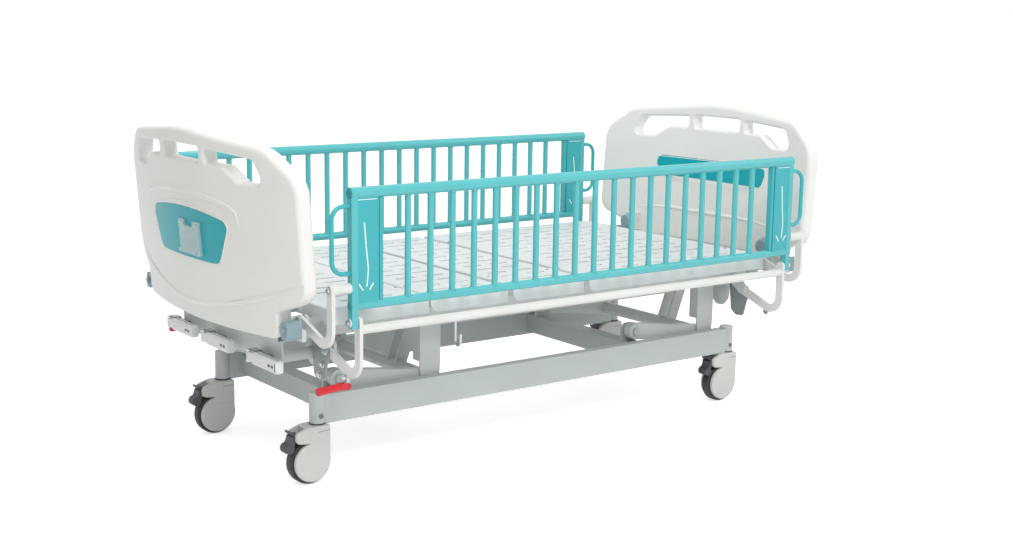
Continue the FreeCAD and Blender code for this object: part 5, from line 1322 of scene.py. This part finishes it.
@dataclass
class CrankDress:
    """Seam, catches and end bars of one folding crank handle."""

    label: str
    bars: bool = False
    seam_bead: float = 0.9
    seam_sunk: float = 0.3
    seam_margin: float = 8.0
    seam_steps: int = 14
    wave: Pair = (1.6, 1.3)                 # reach, and turn for each step in radians
    catches: Pair = (22.0, 40.0)            # from the handle's near end
    catch_size: Point = (1.0, 11.0, 7.0)    # thickness, width and height
    catch_edges: Pair = (1.5, 0.3)          # corner radius and bevel
    pad_sunk: float = 0.2
    bar_size: Pair = (0.8, 3.0)             # thickness and width
    bar_edges: Pair = (1.0, 0.2)
    bar_margin: Point = (5.0, 7.0, 6.0)     # near end, far end and height

    def pads(self, name: str, low: Point, high: Point, spans: Sequence[tuple[Pair, Pair]],
             thickness: float, edges: Pair) -> Workpiece:
        """Cut thin pads on the grip's outer face.

        Args:
            name: The pads' name, without the crank's label.
            low: Lowest corner of the grip.
            high: Highest corner of the grip; not used.
            spans: Each pad's span across the cot, and its span in height.
            thickness: How thick the pads are.
            edges: Radius of their corners, and width of their bevel.

        Returns:
            The joined pads.
        """
        x = low[0] + self.pad_sunk
        first, *others = [
            Workpiece.plate("pad", [(x, y[0], z[0]), (x, y[1], z[0]), (x, y[1], z[1]), (x, y[0], z[1])],
                            (-thickness, 0, 0), *edges) for y, z in spans]
        return first.join(*others, name=name + "_" + self.label)

    def build(self) -> None:
        """Build the handle's small parts."""
        low, high = node_box("crank_grip_" + self.label)
        body = "crank_" + self.label + "_handle"
        middle, reach = (low[0] + high[0]) / 2, high[1] - low[1] - 2 * self.seam_margin
        path = [(middle + self.wave[0] * math.sin(k * self.wave[1]),
                 low[1] + self.seam_margin + reach * k / self.seam_steps, high[2] - self.seam_sunk)
                for k in range(self.seam_steps + 1)]
        Workpiece.wire("crank_grip_seam_" + self.label, path, self.seam_bead).mount(
            body, Finish.DARK, "dark_plastic")
        thickness, width, height = self.catch_size
        z = (low[2] + high[2]) / 2
        spans = [((low[1] + y - width / 2, low[1] + y + width / 2), (z - height / 2, z + height / 2))
                 for y in self.catches]
        self.pads("crank_grip_catches", low, high, spans, thickness, self.catch_edges).mount(
            body, Finish.CATCH, "dark_plastic")
        if self.bars:
            thickness, width = self.bar_size
            near, far, level = self.bar_margin
            spans = [((y, y + width), (low[2] + level, high[2] - level))
                     for y in (low[1] + near, high[1] - far)]
            self.pads("crank_grip_bars", low, high, spans, thickness, self.bar_edges).mount(
                body, Finish.DARK, "dark_plastic")


@dataclass
class FrameDress:
    """End plugs of the bed frame's beams, leg bolts and the deck's screws."""

    beam_y: Pair = (275.0, 305.0)
    beam_z: Pair = (405.0, 465.0)
    beam_wall: float = 1.5
    end_x: float = 870.0
    plug: float = 2.5
    plug_rim: Pair = (1.0, 0.6)             # width and rise
    plug_land: float = 4.0
    plug_dish: Pair = (1.0, -1.2)           # width and rise
    leg_pivots: tuple[Pair, ...] = ((-392.6, 229.8), (696.4, 229.8))
    leg_face_y: float = 275.0
    deck_sections: tuple[tuple[str, str], ...] = (
        ("deck_calf", "calf_section"), ("deck_thigh", "thigh_section"),
        ("deck_seat", "bed_frame"), ("deck_back", "back_section"))
    screw_size: Pair = (5.0, 1.8)           # radius and height
    screw_sunk: float = 0.3
    screw_y: float = 290.0
    screw_inset: float = 20.0

    def beam_plugs(self) -> None:
        """Close the frame beams' ends with moulded plugs."""
        half_y = (self.beam_y[1] - self.beam_y[0]) / 2 - self.beam_wall
        half_z = (self.beam_z[1] - self.beam_z[0]) / 2 - self.beam_wall
        pattern = Workpiece.block("plug", (-half_y, -half_z, 0), (half_y, half_z, self.plug))
        pattern.shape("FACE", upward, inset(*self.plug_rim), inset(self.plug_land), inset(*self.plug_dish))
        y, z = sum(self.beam_y) / 2, sum(self.beam_z) / 2
        places = [Matrix.Translation(mm(end * self.end_x, side * y, z))
                  @ Matrix(((0, 0, end, 0), (end, 0, 0, 0), (0, 1, 0, 0), (0, 0, 0, 1)))
                  for end in (-1, 1) for side in (-1, 1)]
        pattern.repeat("frame_beam_plugs", places).mount("bed_frame", Finish.DARK, "dark_plastic")

    def leg_bolts(self) -> None:
        """Fit the bolt heads on the legs' lift pivots."""
        places = [on_axis((x, side * self.leg_face_y, z), (0, side, 0))
                  for x, z in self.leg_pivots for side in (-1, 1)]
        HexBolt(across_flats=15.0, washer_radius=12.0).model().repeat("leg_pivot_bolts", places).mount(
            "bed_frame", Finish.BOLT, "zinc_steel")

    def deck_screws(self) -> None:
        """Screw each deck section down near its corners."""
        for node, body in self.deck_sections:
            low, high = node_box(node)
            places = [on_axis((x, side * self.screw_y, high[2] - self.screw_sunk))
                      for x in (low[0] + self.screw_inset, high[0] - self.screw_inset) for side in (-1, 1)]
            PanScrew(*self.screw_size).model().repeat(node + "_screws", places).mount(
                body, Finish.STEEL, "zinc_steel")

    def build(self) -> None:
        """Build the frame's small parts."""
        self.beam_plugs()
        self.leg_bolts()
        self.deck_screws()


def main() -> None:
    """Build the studio, finish the nodes and dress each sub-assembly."""
    logging.basicConfig(level=logging.INFO)
    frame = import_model()
    bpy.ops.object.select_all(action="DESELECT")
    Studio().build()
    CadDress(frame["nodes"]).build()
    for side, rail in ((-1, "near"), (1, "far")):
        RailDress(side, rail).build()
        for end, board in ((-1, "foot"), (1, "head")):
            CastorDress(end, side, board + "_" + rail).build()
            LinkageDress(end, side, board + "_" + rail, rail).build()
    BoardDress(-1, "footboard").build()
    BoardDress(1, "headboard").build()
    CardDress().build()
    for label in ("leg", "lift", "back"):
        CrankDress(label, bars=label == "back").build()
    FrameDress().build()


if __name__ == "__main__":
    main()
